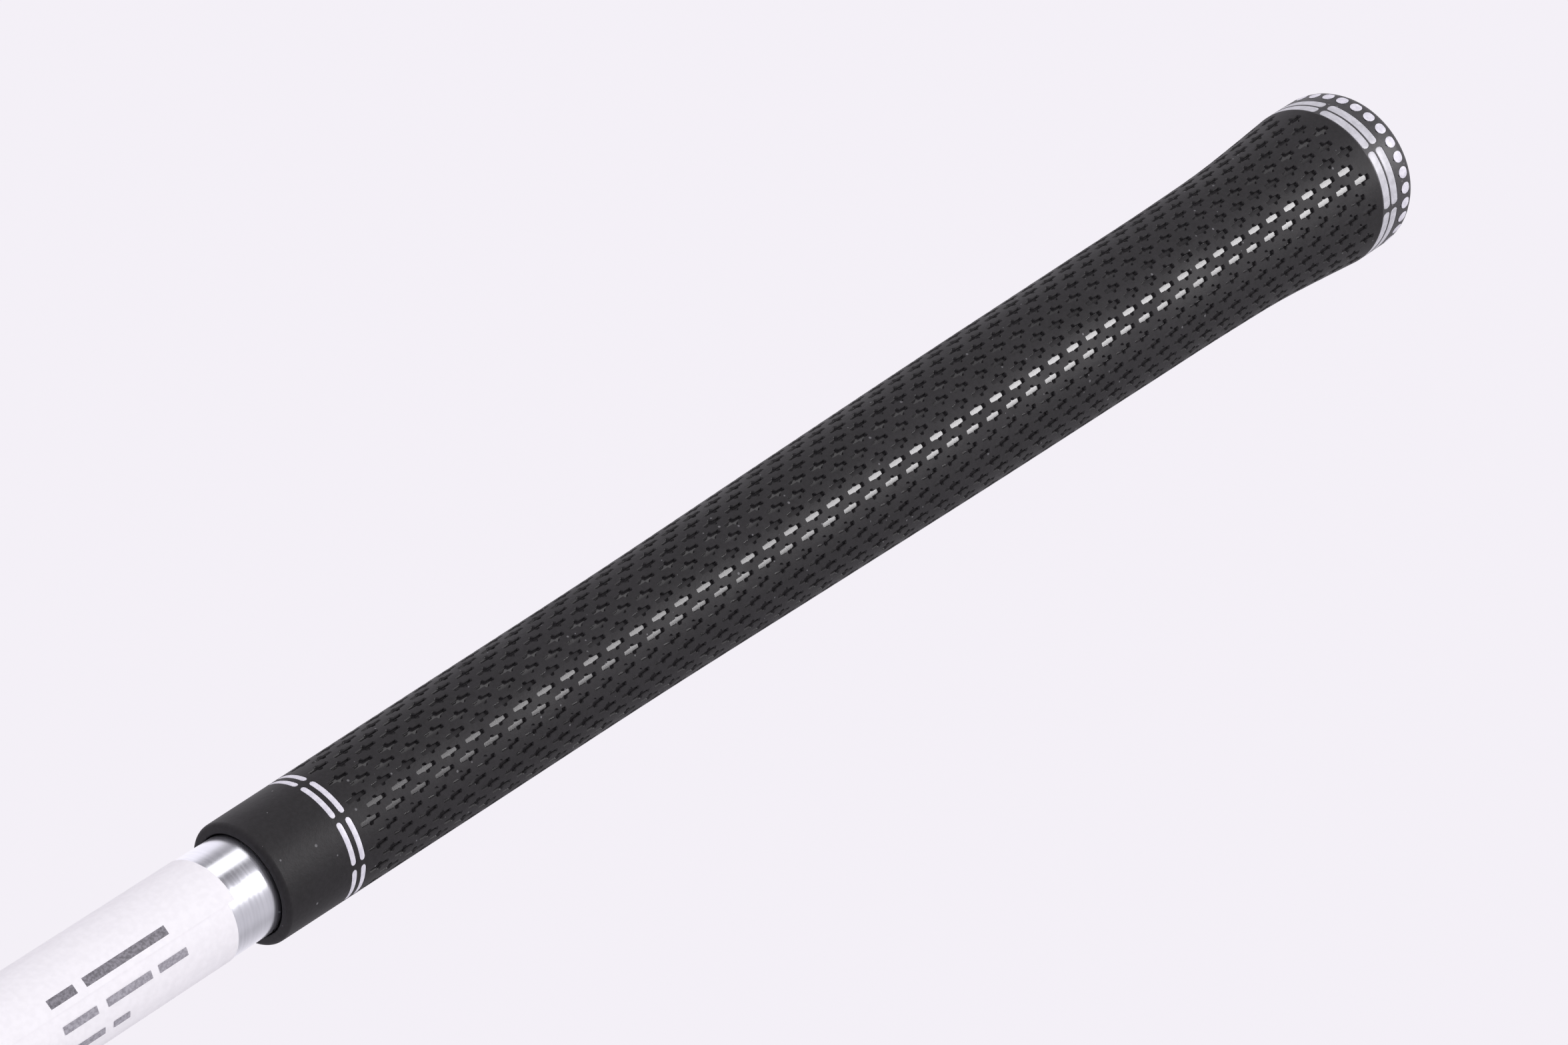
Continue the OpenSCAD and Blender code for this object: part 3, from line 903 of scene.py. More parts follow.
def mirrored_outline(quarter: list[tuple[float, float]]) -> np.ndarray:
    """Completes an outline from its corners in one quarter, which run from the +x tip to the +y tip.

    Args:
        quarter: (x, y) corners, the first on the x axis and the last on the y axis.

    Returns:
        All the corners, clockwise from the +x tip.
    """
    first = np.array(quarter) * [1, -1]
    second = first[-2::-1] * [-1, 1]
    half = np.concatenate([first, second])
    return np.concatenate([half, half[-2:0:-1] * [1, -1]])


# The edge of a pattern cell, in quarter pitches and columns from its middle.
CELL_EDGE = mirrored_outline([(2, 0), (2, 1), (2, 2), (1, 2), (0, 2)]).astype(int)


@dataclass
class Recess:
    """A hollow moulded into a skin: its outline at the top and at the floor, and its depth.

    Outlines are (x, y): x along the grip in metres and y round it in columns. The fillet is the share of the
    depth that rounds the floor's edge, and the shoulder is how far the top edge's normals lean to the skin's.
    """

    top: np.ndarray
    floor: np.ndarray
    depth: float
    fillet: float = 0.12
    shoulder: float = 0.45


@dataclass
class MouldedMesh:
    """Collects the points, faces and shading normals of a skin with recesses."""

    skin: MouldedSkin
    points: list[np.ndarray] = field(default_factory=list)
    polish: list[np.ndarray] = field(default_factory=list)
    batches: list[Batch] = field(default_factory=list)
    count: int = 0

    def add(self, points: np.ndarray, polish: float = 0.0) -> np.ndarray:
        """Stores points and gives their numbers, in the same shape."""
        shape = points.shape[:-1]
        size = int(np.prod(shape))
        self.points.append(points.reshape(-1, 3))
        self.polish.append(np.full(size, polish))
        numbers = np.arange(self.count, self.count + size).reshape(shape)
        self.count += size
        return numbers

    def band(
        self, low: np.ndarray, high: np.ndarray, low_normals: np.ndarray, high_normals: np.ndarray
    ) -> None:
        """Joins two closed rings of as many points with quads.

        Args:
            low: Point numbers of the first ring, or a row of them for each of many rings.
            high: The same for the second ring.
            low_normals: The normals on the first ring.
            high_normals: The normals on the second ring.
        """
        low, high = np.atleast_2d(low), np.atleast_2d(high)
        low_normals = low_normals.reshape(*low.shape, 3)
        high_normals = high_normals.reshape(*high.shape, 3)
        corners = np.stack([low, np.roll(low, -1, 1), np.roll(high, -1, 1), high], -1)
        after = [np.roll(normals, -1, 1) for normals in (low_normals, high_normals)]
        normals = np.stack([low_normals, *after, high_normals], -2)
        self.batches.append(Batch(corners.reshape(-1, 4), normals.reshape(-1, 4, 3)))

    def recesses(
        self,
        edge: np.ndarray,
        edge_place: tuple[np.ndarray, np.ndarray],
        shape: Recess,
        run: np.ndarray,
        column: np.ndarray,
    ) -> tuple[np.ndarray, np.ndarray]:
        """Moulds a recess into each of many cells of the skin.

        Args:
            edge: Point numbers of each cell's edge, a row a cell, in step with the outline's corners.
            edge_place: The run and the column of each of those points.
            shape: The recess.
            run: Each cell's middle.
            column: The same, round the grip.

        Returns:
            The point numbers of each floor's outline, and the normals there.
        """
        skin = self.skin
        run, column = run[:, None], column[:, None]
        foot = shape.floor + (shape.top - shape.floor) * shape.fillet
        levels = []
        rows = ((shape.top, 0.0, 0.0), (foot, 1 - shape.fillet, 1.0), (shape.floor, 1.0, 1.0))
        for outline, depth, polish in rows:
            place = (run + outline[:, 0], column + outline[:, 1])
            levels.append((self.add(skin.at(*place, depth * shape.depth), polish), place))
        (top, top_place), (low, _), (floor, floor_place) = levels
        every = np.concatenate(self.points)
        ring = every[top]
        way = np.roll(ring, -1, 1) - np.roll(ring, 1, 1)
        wall = unit(np.cross(every[low] - ring, way))
        flat = skin.normal(*top_place)
        wall *= np.sign(np.einsum("ijk,ijk->i", wall, ring.mean(1, keepdims=True) - ring))[:, None, None]
        eased = unit(wall * (1 - shape.shoulder) + flat * shape.shoulder)
        self.band(edge, top, skin.normal(*edge_place), flat)
        self.band(top, low, eased, wall)
        bottom = skin.normal(*floor_place)
        self.band(low, floor, wall, bottom)
        return floor, bottom

    def piece(self, name: str, material: bpy.types.Material) -> bpy.types.Object:
        """Makes the piece, with where it is polished as a value of its points."""
        polish = {"polish": np.concatenate(self.polish)}
        return make_piece(name, np.concatenate(self.points), self.batches, material, values=polish)

    def long_floors(self, floor: np.ndarray, normals: np.ndarray, straight: int) -> None:
        """Closes recesses that curve round the grip, with a strip between their two straight sides.

        Args:
            floor: Point numbers of each floor's outline: one side, an end, the other side, the other end.
            normals: The normals there.
            straight: Points in a side.
        """
        n = floor.shape[1]
        end = n // 2 - straight
        low = np.arange(straight - 1)
        high = n - 1 - end - low
        strip = np.stack([low, low + 1, high - 1, high], -1)
        self.batches.append(Batch(floor[:, strip].reshape(-1, 4), normals[:, strip].reshape(-1, 4, 3)))
        for start in (straight - 1, n // 2 + straight - 1):
            tip = np.arange(start, start + end + 2) % n
            self.batches.append(Batch(floor[:, tip], normals[:, tip]))


def pill(half_width: float, half_length: float, end_width: float, straight: int, ends: int) -> np.ndarray:
    """Gives a long outline with round ends, anticlockwise round the skin.

    Args:
        half_width: Half its size along the grip.
        half_length: Half its size round the grip, in columns.
        end_width: How much of that is the round end, in columns.
        straight: Points in a straight side.
        ends: Points on a round end, between the sides.

    Returns:
        (x, y) rows: the -x side, the +y end, the +x side and the -y end.
    """
    side = np.linspace(-1, 1, straight) * (half_length - end_width)
    angle = np.arange(1, ends + 1) / (ends + 1) * math.pi
    low = np.stack([np.full(straight, -half_width), side], 1)
    tip = np.stack([-half_width * np.cos(angle), half_length - end_width + end_width * np.sin(angle)], 1)
    half = np.concatenate([low, tip])
    return np.concatenate([half, -half])


@dataclass
class Grip:
    """The rubber sleeve with its moulded crosses, the cap, and the paint in their grooves."""

    axis: Axis
    palette: Palette
    first_turn: float
    mouth: float = 825 * MM
    cap_start: float = 1079.5 * MM
    end: float = 1092 * MM
    mouth_radius: float = 9.35 * MM
    bore_radius: float = 7.79 * MM
    cap_radius: float = 14.4 * MM
    pitch: float = 4.87 * MM
    lead: float = 4.05
    crosses: int = 48
    reference_radius: float = 11.0 * MM
    vent_radius: float = 1.7 * MM

    def swell(self) -> list[tuple[float, float]]:
        """Lists the sleeve's radius against the distance from its mouth."""
        growth = [(0, 0), (39, 0.33), (78, 0.65), (117, 1.39), (156, 2.1), (195, 2.6), (219, 2.92)]
        growth += [(234, 3.4), (246, 4.3)]
        knots = [(place * MM, self.mouth_radius + more * MM) for place, more in growth]
        return [*knots, (self.cap_start - self.mouth, self.cap_radius)]

    def run_at(self, pitches: float) -> float:
        """Gives the distance from the mouth of a place counted in pitches from the first cross."""
        return (pitches + self.lead) * self.pitch

    def cross(self) -> Recess:
        """Gives one cross: long along the grip, with a short, pointed arm round it."""
        column = self.reference_radius * TAU / COLUMNS / MM
        top = [(1.85, 0), (1.74, 0.38), (0.46, 0.43), (0.3, 0.84), (0, 0.9)]
        floor = [(1.74, 0), (1.62, 0.32), (0.44, 0.37), (0.24, 0.76), (0, 0.82)]
        outlines = [mirrored_outline([(x * MM, y / column) for x, y in half]) for half in (top, floor)]
        return Recess(outlines[0], outlines[1], 0.48 * MM)

    def cells(self, mesh: MouldedMesh, net: np.ndarray, first: int) -> None:
        """Moulds the crosses, row by row, each second row half a pitch along.

        Args:
            mesh: The mesh to add to.
            net: Point numbers by quarter pitch and column.
            first: The quarter pitch of the net's first line.
        """
        middle = np.array(
            [
                (CELL * i - shift, CELL * row)
                for start, shift in ((0, 0), (1, CELL // 2))
                for row in range(start, CELL_ROWS, 2)
                for i in range(self.crosses + start)
            ]
        )
        quarter = middle[:, :1] + CELL_EDGE[:, 0]
        column = middle[:, 1:] + CELL_EDGE[:, 1]
        edge = net[quarter - first, column % COLUMNS]
        place = (self.run_at(quarter / CELL), column)
        run = self.run_at(middle[:, 0] / CELL)
        floor, normals = mesh.recesses(edge, place, self.cross(), run, middle[:, 1])
        mesh.batches.append(Batch(floor, normals))
        for start in (first, CELL * self.crosses - CELL // 2):
            for row in range(0, CELL_ROWS, 2):
                i, j = np.meshgrid(np.arange(2) + start, np.arange(4) + CELL * row - 2, indexing="ij")
                i, j = i.ravel(), j.ravel()
                quads = [(i, j), (i, j + 1), (i + 1, j + 1), (i + 1, j)]
                corners = np.stack([net[a - first, b % COLUMNS] for a, b in quads], -1)
                normals = np.stack([mesh.skin.normal(self.run_at(a / CELL), b) for a, b in quads], 1)
                mesh.batches.append(Batch(corners, normals))

    def dash(self, radius: float, half_width: float, gap_degrees: float, shrink: float = 0.0) -> np.ndarray:
        """Gives the outline of one dash of a ring.

        Args:
            radius: The skin's radius there.
            half_width: Half the dash's size along the grip.
            gap_degrees: The gap between two dashes.
            shrink: How much smaller it is on every side.

        Returns:
            The outline, as pill() gives it.
        """
        column = TAU * radius / COLUMNS
        half = (180 / DASHES - gap_degrees / 2) / 360 * COLUMNS - shrink / column
        end = min(half_width - shrink, 0.5 * MM) / column
        return pill(half_width - shrink, half, end, DASH_SIDE, 3)

    def groove(self, radius: float, half_width: float, gap_degrees: float) -> Recess:
        """Gives the hollow that a dash's paint fills, with the same measures as dash()."""
        outlines = [self.dash(radius, half_width, gap_degrees, shrink) for shrink in (0.0, 0.05 * MM)]
        return Recess(*outlines, 0.3 * MM)

    @staticmethod
    def dash_places(run: float, lean: float) -> list[tuple[float, float]]:
        """Lists the middles of a ring of dashes whose first cell starts at column -1."""
        return [(run, DASH_CELL * (k + 0.5) - 1 + lean) for k in range(DASHES)]

    def dash_ring(
        self,
        mesh: MouldedMesh,
        rings: tuple[np.ndarray, np.ndarray],
        runs: tuple[float, float],
        middle: float,
        recess: Recess,
        lean: float,
    ) -> None:
        """Moulds a ring of dashes between two rings of the skin, with the first cell's edge at column -1.

        Args:
            mesh: The mesh to add to.
            rings: The point numbers of the two rings.
            runs: Where the two rings are.
            middle: Where the middle of the dashes is.
            recess: The dash.
            lean: How far the dashes are shifted round in their cells, in columns.
        """
        for _, centre in self.dash_places(middle, 0.0):
            up = int(centre) - DASH_CELL // 2 + np.arange(DASH_SIDE)
            low, high = rings[0][up % COLUMNS], rings[1][up % COLUMNS]
            edge = np.concatenate([low, [low[-1], low[-1], high[-1]], high[::-1], [high[0], high[0], low[0]]])
            run = np.repeat([runs[0], runs[1], runs[0]], [DASH_SIDE + 2, DASH_SIDE + 3, 1])
            column = np.concatenate([up, [up[-1]] * 3, up[::-1], [up[0]] * 3])
            at = (np.array([middle]), np.array([centre + lean]))
            floor, normals = mesh.recesses(edge[None], (run[None], column[None]), recess, *at)
            mesh.long_floors(floor, normals, DASH_SIDE)

    def painted(
        self,
        name: str,
        node: str,
        skin: MouldedSkin,
        outline: np.ndarray,
        places: list[tuple[float, float]],
        top: float,
        straight: int,
        finish: str,
    ) -> None:
        """Fills recesses with slightly domed paint.

        Args:
            name: The piece's name.
            node: The node that they are part of.
            skin: The skin that they are in.
            outline: The outline of the paint, as pill() gives it.
            places: The run and column of each one's middle.
            top: How deep its top lies.
            straight: Points in a straight side.
            finish: Its finish.
        """
        mesh = MouldedMesh(skin)
        at = np.array(places)
        run, column = at[:, :1], at[:, 1:]
        rings = []
        dome = ((1.0, PAINT_DEPTH), (1.0, top + 0.06 * MM), (0.93, top + 0.012 * MM), (0.8, top))
        for shrink, depth in dome:
            place = (run + outline[:, 0] * shrink, column + outline[:, 1] * (1 - (1 - shrink) * 0.12))
            rings.append((mesh.add(skin.at(*place, depth)), skin.normal(*place)))
        for (low, low_normal), (high, high_normal) in zip(rings, rings[1:]):
            mesh.band(low, high, low_normal, high_normal)
        mesh.long_floors(*rings[-1], straight)
        foot, foot_normal = rings[0]
        mesh.long_floors(foot[:, ::-1], -foot_normal[:, ::-1], straight)
        faces = [Batch(batch.corners) for batch in mesh.batches]
        paint = make_piece(name, np.concatenate(mesh.points), faces, self.palette[finish])
        tie(paint, "shaft_assembly", "trim", node)

    def sleeve(self) -> None:
        """Builds the sleeve as one closed mesh: bore, rounded mouth, rings of dashes, crosses and end."""
        length = self.cap_start - self.mouth
        run = np.linspace(0, length, 1200)
        outline = np.stack([self.mouth + run, through(self.swell(), run)], 1)
        skin = MouldedSkin(self.axis, outline, self.first_turn)
        skin.runs = run
        mesh = MouldedMesh(skin)
        column = np.arange(COLUMNS)
        turn = self.first_turn + column / COLUMNS * TAU

        def ring(offset: float, radius: float, lean: float) -> tuple[np.ndarray, np.ndarray]:
            """Adds a ring of the mouth or the bore, whose normal leans away from the axis by `lean`."""
            points = self.axis.place(self.mouth + offset, radius, turn)
            normal = math.cos(lean) * self.axis.around(turn) - math.sin(lean) * self.axis.along
            return mesh.add(points), normal

        inner, outer = self.bore_radius, self.mouth_radius
        lip, edge = 0.35 * MM, 0.75 * MM
        rings = [ring(length, inner, math.pi), ring(lip, inner, math.pi)]
        for angle in np.radians([22.5, 45, 67.5, 90]):
            offset, wider = lip * (1 - math.sin(angle)), lip * (1 - math.cos(angle))
            rings.append(ring(offset, inner + wider, math.pi - angle))
        for angle in np.radians([0, 15, 30, 45, 60, 75, 90]):
            offset, shrink = edge * (1 - math.cos(angle)), edge * (1 - math.sin(angle))
            rings.append(ring(offset, outer - shrink, math.pi / 2 - angle))
        lines = np.concatenate([np.linspace(1.6, 10.2, 7) * MM, [self.run_at(-1.68), self.run_at(-1.32)]])
        for at in lines:
            rings.append((mesh.add(skin.at(at, column)), skin.normal(at, column)))
        for (low, low_normal), (high, high_normal) in zip(rings[:-1], rings[1:-1]):
            mesh.band(low, high, low_normal, high_normal)
        first = -CELL
        quarter = np.arange(first, CELL * self.crosses + 1)
        net = mesh.add(skin.at(self.run_at(quarter / CELL)[:, None], column[None, :]))
        size, lean = (self.mouth_radius, 0.5 * MM, 4.0), -0.4
        dashes = (self.run_at(-1.50), self.run_at(-1.15))
        bounds = [(rings[-2][0], lines[-2]), (rings[-1][0], lines[-1]), (net[0], self.run_at(-1))]
        for k, middle in enumerate(dashes):
            (low, low_run), (high, high_run) = bounds[k], bounds[k + 1]
            self.dash_ring(mesh, (low, high), (low_run, high_run), middle, self.groove(*size), lean)
        self.cells(mesh, net, first)
        last, last_normal = net[-1], skin.normal(self.run_at(self.crosses), column)
        close = mesh.add(skin.at(length, column))
        mesh.band(last, close, last_normal, skin.normal(length, column))
        end_normal = np.broadcast_to(self.axis.along, (COLUMNS, 3))
        mesh.band(close, rings[0][0], end_normal, end_normal)
        sleeve = mesh.piece("grip_sleeve_rubber", self.palette["grip_rubber"])
        tie(sleeve, "shaft_assembly", "grip_rubber", "grip_sleeve")
        places = [place for middle in dashes for place in self.dash_places(middle, lean)]
        fill, top = self.dash(*size, 0.03 * MM), 0.04 * MM
        self.painted("grip_mouth_dashes", "grip_sleeve", skin, fill, places, top, DASH_SIDE, "mark_paint")

    def cap_outline(self) -> np.ndarray:
        """Gives the cap's outside, evenly spaced: straight rim, round corner and low dome to the vent."""
        height = self.end - self.cap_start
        radius = self.cap_radius
        angles = np.radians(np.arange(0, 76, 5))
        corner = 3.6 * MM
        rows = [(0, radius), (2 * MM, radius), (4.5 * MM, radius)]
        centre = (height - 5.2 * MM, radius - corner)
        rows += [(centre[0] + corner * math.sin(a), centre[1] + corner * math.cos(a)) for a in angles]
        rows += [(height - 0.9 * MM, 8.2 * MM), (height - 0.25 * MM, 5.5 * MM)]
        rows.append((height, self.vent_radius + 0.5 * MM))
        knots = np.array(rows) + [self.cap_start, 0]
        steps = runs_along(knots)
        even = np.linspace(0, steps[-1], 400)
        return np.stack([np.interp(even, steps, knots[:, k]) for k in (0, 1)], 1)

    def cap(self) -> None:
        """Builds the cap: two rings of painted dashes, one of pips, the dome, the vent and the socket."""
        reach = 10
        kernel = np.ones(2 * reach + 1) / (2 * reach + 1)
        padded = np.pad(self.cap_outline(), ((reach, reach), (0, 0)), mode="reflect", reflect_type="odd")
        smooth = np.stack([np.convolve(part, kernel, "valid") for part in padded.T], 1)
        skin = MouldedSkin(self.axis, smooth, self.first_turn)
        mesh = MouldedMesh(skin)
        column = np.arange(COLUMNS)
        turn = self.first_turn + column / COLUMNS * TAU

        def skin_ring(run: float) -> tuple[np.ndarray, np.ndarray]:
            """Adds a ring on the skin."""
            return mesh.add(skin.at(run, column)), skin.normal(run, column)

        def turned_ring(
            station: float, radius: float, away: float, along: float
        ) -> tuple[np.ndarray, np.ndarray]:
            """Adds a ring off the skin, with its normal."""
            normal = away * self.axis.around(turn) + along * self.axis.along
            return mesh.add(self.axis.place(station, radius, turn)), normal

        bands, half, gap_degrees, lean = ((0.1, 2.35, 1.22), (2.35, 4.7, 3.45)), 0.98 * MM, 2.6, -0.2
        pips_start, pips_end, pips_middle = 5.3, 8.5, 6.9
        rings = {run: skin_ring(run * MM) for run in (0.0, 0.1, 2.35, 4.7, pips_start)}
        net_runs = np.linspace(pips_start, pips_end, CELL + 1)
        net = mesh.add(skin.at(net_runs[:, None] * MM, column[None, :]))
        mesh.band(*self.pair(rings[0.0], rings[0.1]))
        top_normal = skin.normal(pips_start * MM, column)
        mesh.band(*self.pair(rings[4.7], (net[0], top_normal)))
        for low, high, middle in bands:
            pair = (rings[low][0], rings[high][0])
            groove = self.groove(self.cap_radius, half, gap_degrees)
            self.dash_ring(mesh, pair, (low * MM, high * MM), middle * MM, groove, lean)
        row = np.arange(CELL_ROWS)
        line, around = CELL_EDGE[:, 0] + CELL // 2, CELL * row[:, None] + CELL_EDGE[:, 1]
        edge = net[line, around % COLUMNS]
        place = (np.broadcast_to(net_runs[line] * MM, edge.shape), around)
        angle = np.arange(16) * TAU / 16
        pip = np.stack([1.25 * MM * np.cos(angle), 1.5 * np.sin(angle)], 1)
        hollow = Recess(pip, pip * 0.94, 0.3 * MM)
        middles = np.full(CELL_ROWS, pips_middle * MM)
        floor, normals = mesh.recesses(edge, place, hollow, middles, float(CELL) * row)
        mesh.batches.append(Batch(floor, normals))
        rest = [(net[-1], skin.normal(pips_end * MM, column))]
        rest += [skin_ring(run) for run in np.linspace(pips_end * MM, skin.runs[-1], 15)[1:]]
        socket = 1088.05 * MM
        vent = self.vent_radius
        rest += [
            turned_ring(self.end - 0.15 * MM, vent + 0.12 * MM, -0.4, 0.9),
            turned_ring(self.end - 0.5 * MM, vent, -1, 0),
            turned_ring(socket, vent, -1, 0),
            turned_ring(socket, self.bore_radius, -0.7, -0.7),
            turned_ring(self.cap_start, self.bore_radius, -1, 0),
        ]
        for low, high in zip(rest, rest[1:]):
            mesh.band(*self.pair(low, high))
        mesh.band(*self.pair(rest[-1], rings[0.0]))
        cap = mesh.piece("grip_cap_rubber", self.palette["cap_rubber"])
        tie(cap, "shaft_assembly", "cap_rubber", "grip_cap")
        fill = self.dash(self.cap_radius, half, gap_degrees, 0.03 * MM)
        for number, (_, _, middle) in enumerate(bands, 1):
            places, name = self.dash_places(middle * MM, lean), f"grip_cap_dashes_{number}"
            self.painted(name, "grip_cap", skin, fill, places, 0.03 * MM, DASH_SIDE, "cap_paint")
        dot = pill(1.2 * MM, 1.44, 1.1, 3, 7)
        places = [(pips_middle * MM, float(CELL * k)) for k in range(CELL_ROWS)]
        self.painted("grip_cap_pips", "grip_cap", skin, dot, places, 0.0, 3, "mark_paint")

    @staticmethod
    def pair(
        low: tuple[np.ndarray, np.ndarray], high: tuple[np.ndarray, np.ndarray]
    ) -> tuple[np.ndarray, ...]:
        """Puts two rings and their normals in the order that band() takes."""
        return low[0], high[0], low[1], high[1]

    def build(self) -> None:
        """Builds the sleeve and the cap."""
        self.sleeve()
        self.cap()


# ---------------------------------------------------------------- shaft and label


def slab_faces(rows: int, cols: int, start: int = 0) -> np.ndarray:
    """Numbers the faces of a thin slab: an inner grid of points, then an outer one.

    Args:
        rows: Rows of each grid.
        cols: Points in a row.
        start: The number of the first point.

    Returns:
        Four point numbers a quad.
    """
    size = rows * cols
    quads = grid_quads(rows, cols, wrap_cols=False)
    numbers = np.arange(size).reshape(rows, cols)
    border = np.concatenate([numbers[0], numbers[1:, -1], numbers[-1, -2::-1], numbers[-2:0:-1, 0]])
    after = np.roll(border, -1)
    edge = np.stack([border, after, after + size, border + size], -1)
    return np.concatenate([quads[:, ::-1], quads + size, edge]) + start


@dataclass
class ShaftAndLabel:
    """The silver shaft, and the paper label that is wrapped round it below the grip."""

    axis: Axis
    palette: Palette
    camera_turn: float
    butt_radius: float = 7.62 * MM
    tip_radius: float = 4.25 * MM
    tip: float = 34 * MM
    top: float = 1088 * MM
    tip_parallel: float = 90 * MM
    taper_top: float = 715 * MM
    label_top: float = 819.5 * MM
    label_length: float = 95 * MM
    paper: float = 0.09 * MM

    def shaft(self) -> None:
        """Turns the shaft: parallel tip, long taper, parallel butt, thin wall and a plain open butt."""
        tip_bore, butt_bore = self.tip_radius - 1.5 * MM, self.butt_radius - 1.0 * MM
        taper = np.linspace(self.tip + self.tip_parallel, self.taper_top, 25)
        share = (taper - taper[0]) / (taper[-1] - taper[0])
        outside = np.stack([taper, self.tip_radius + share * (self.butt_radius - self.tip_radius)], 1)
        rows = [(self.tip, self.tip_radius - 0.3 * MM), (self.tip + 0.3 * MM, self.tip_radius)]
        rows += outside.tolist()
        rows += [(at, self.butt_radius) for at in np.linspace(self.taper_top, self.top, 12)[1:]]
        rows += [(self.top, butt_bore), (self.taper_top, butt_bore)]
        rows += [(self.tip + self.tip_parallel, tip_bore), (self.tip, tip_bore)]
        outline = np.column_stack([np.array(rows), np.zeros(len(rows))])
        shaft = lathe("shaft_tube", self.axis, outline, self.palette["shaft_silver"], 160)
        tie(shaft, "shaft_assembly", "shaft_silver", "shaft")

    def label(self) -> None:
        """Wraps the label: the radius rises by one thickness where the flap passes over its own start."""
        overlap, seam = math.radians(38), self.camera_turn - math.radians(29.6)
        steps, rows = 220, 24
        turn = np.linspace(0, TAU + overlap, steps)
        over = np.clip((turn - TAU + 0.25) / 0.25, 0, 1)
        rise = (3 * over**2 - 2 * over**3) * self.paper
        skew = 1.1 * MM * (turn / TAU) + 0.35 * MM * np.sin(turn * 2 + 0.4) * 0.4
        along = np.linspace(0, 1, rows)
        high = self.label_top - 2.6 * MM + skew
        low = self.label_top - self.label_length + 0.6 * skew + 0.4 * MM
        station = low + (high - low) * along[:, None]
        curl = 0.05 * MM * np.exp(-(((TAU + overlap - turn) / 0.12) ** 2))
        inner = self.butt_radius + 0.01 * MM + rise + curl + 0 * station
        walls = [self.axis.place(station, inner + depth, seam + turn - TAU) for depth in (0.0, self.paper)]
        faces = [Batch(slab_faces(rows, steps))]
        label = make_piece("label_paper", np.array(walls), faces, self.palette["paper"])
        tie(label, "shaft_assembly", "paper", "shaft_label")

    def print_bars(self, name: str, finish: str, bars: list[tuple[float, float, float, float]]) -> None:
        """Prints plain bars on the label, each a thin curved slab.

        Args:
            name: The piece's name.
            finish: The ink.
            bars: Distance of the bar's ends from the label's top, its turn from the camera's in degrees, and
                its width, all but the turn in mm.
        """
        points, faces, steps = [], [], 5
        radius = self.butt_radius + 2.2 * self.paper
        for near, far, degrees, width in bars:
            half = width * MM / radius / 2
            turn = self.camera_turn + math.radians(degrees) + np.linspace(-half, half, steps)
            ends = np.linspace(self.label_top - far * MM, self.label_top - near * MM, steps)
            faces.append(slab_faces(steps, steps, 2 * steps**2 * len(faces)))
            for depth in (-0.05 * MM, 0.012 * MM):
                points.append(self.axis.place(ends[:, None], radius + depth, turn[None, :]).reshape(-1, 3))
        piece = make_piece(name, np.concatenate(points), [Batch(np.concatenate(faces))], self.palette[finish])
        tie(piece, "shaft_assembly", "paper", "shaft_label")

    def build(self) -> None:
        """Builds the shaft, the label and its print."""
        self.shaft()
        self.label()
        heading = [(12.6, 27.2, -3, 1.5), (28.8, 33.4, -3, 1.5), (12.4, 33.8, 5.6, 0.25)]
        lines = [(11.2, 16.2, 26, 1.15), (17.6, 25.4, 26, 1.15), (27.2, 33.0, 26, 1.15)]
        lines += [(22.2, 25.0, 53, 1.05), (26.6, 33.0, 53, 1.05)]
        self.print_bars("label_heading_bars", "label_ink", heading)
        self.print_bars("label_line_bars", "label_ink_light", lines)


# ---------------------------------------------------------------- head


def shell(
    name: str,
    outer: np.ndarray,
    inner: np.ndarray,
    material: bpy.types.Material,
    keep: Callable[[np.ndarray], np.ndarray] | None = None,
    pole_rows: tuple[int, ...] = (),
    wrap_cols: bool = True,
    sharp_degrees: float = 35.0,
) -> bpy.types.Object:
    """Makes a closed wall from two grids of points that match, one on each side of it.

    Args:
        name: The piece's name.
        outer: The outside, in mm: rows, columns, x y z.
        inner: The inside, the same way.
        material: Its finish.
        keep: Which quads stay, given their middles in mm. The rims of the holes are walled.
        pole_rows: Rows that are a single point.
        wrap_cols: Whether each row is a closed ring.
        sharp_degrees: Edges sharper than this stay crisp.

    Returns:
        The new piece.
    """
    rows, cols = outer.shape[:2]
    size = rows * cols
    number = np.arange(size)
    for row in pole_rows:
        number[row % rows * cols : (row % rows + 1) * cols] = row % rows * cols
    quads = number[grid_quads(rows, cols, wrap_cols=wrap_cols)]
    if keep is not None:
        quads = quads[keep(outer.reshape(-1, 3)[quads].mean(1))]
    start, end = quads.ravel(), np.roll(quads, -1, 1).ravel()
    start, end = start[start != end], end[start != end]
    rim = ~np.isin(start * size + end, end * size + start)
    walls = np.stack([end[rim], start[rim], start[rim] + size, end[rim] + size], -1)
    points = np.concatenate([outer.reshape(-1, 3), inner.reshape(-1, 3)]) * MM
    faces = [Batch(quads), Batch(quads[:, ::-1] + size), Batch(walls)]
    return make_piece(name, points, faces, material, sharp_degrees)


def bisect(inside: Callable[[np.ndarray], np.ndarray], low: np.ndarray, high: np.ndarray) -> np.ndarray:
    """Finds where a test changes between places that pass it and places that don't.

    Args:
        inside: The test, for an array of places.
        low: Places that pass.
        high: Places that don't.

    Returns:
        The last places that pass.
    """
    low, high = np.broadcast_arrays(np.asarray(low, float), np.asarray(high, float))
    low, high = low.copy(), high.copy()
    for _ in range(BISECTIONS):
        middle = (low + high) / 2
        good = inside(middle)
        low, high = np.where(good, middle, low), np.where(good, high, middle)
    return low


def signed_power(value: np.ndarray, power: np.ndarray) -> np.ndarray:
    """Raises the size of a number to a power and keeps its sign."""
    return np.sign(value) * np.abs(value) ** power


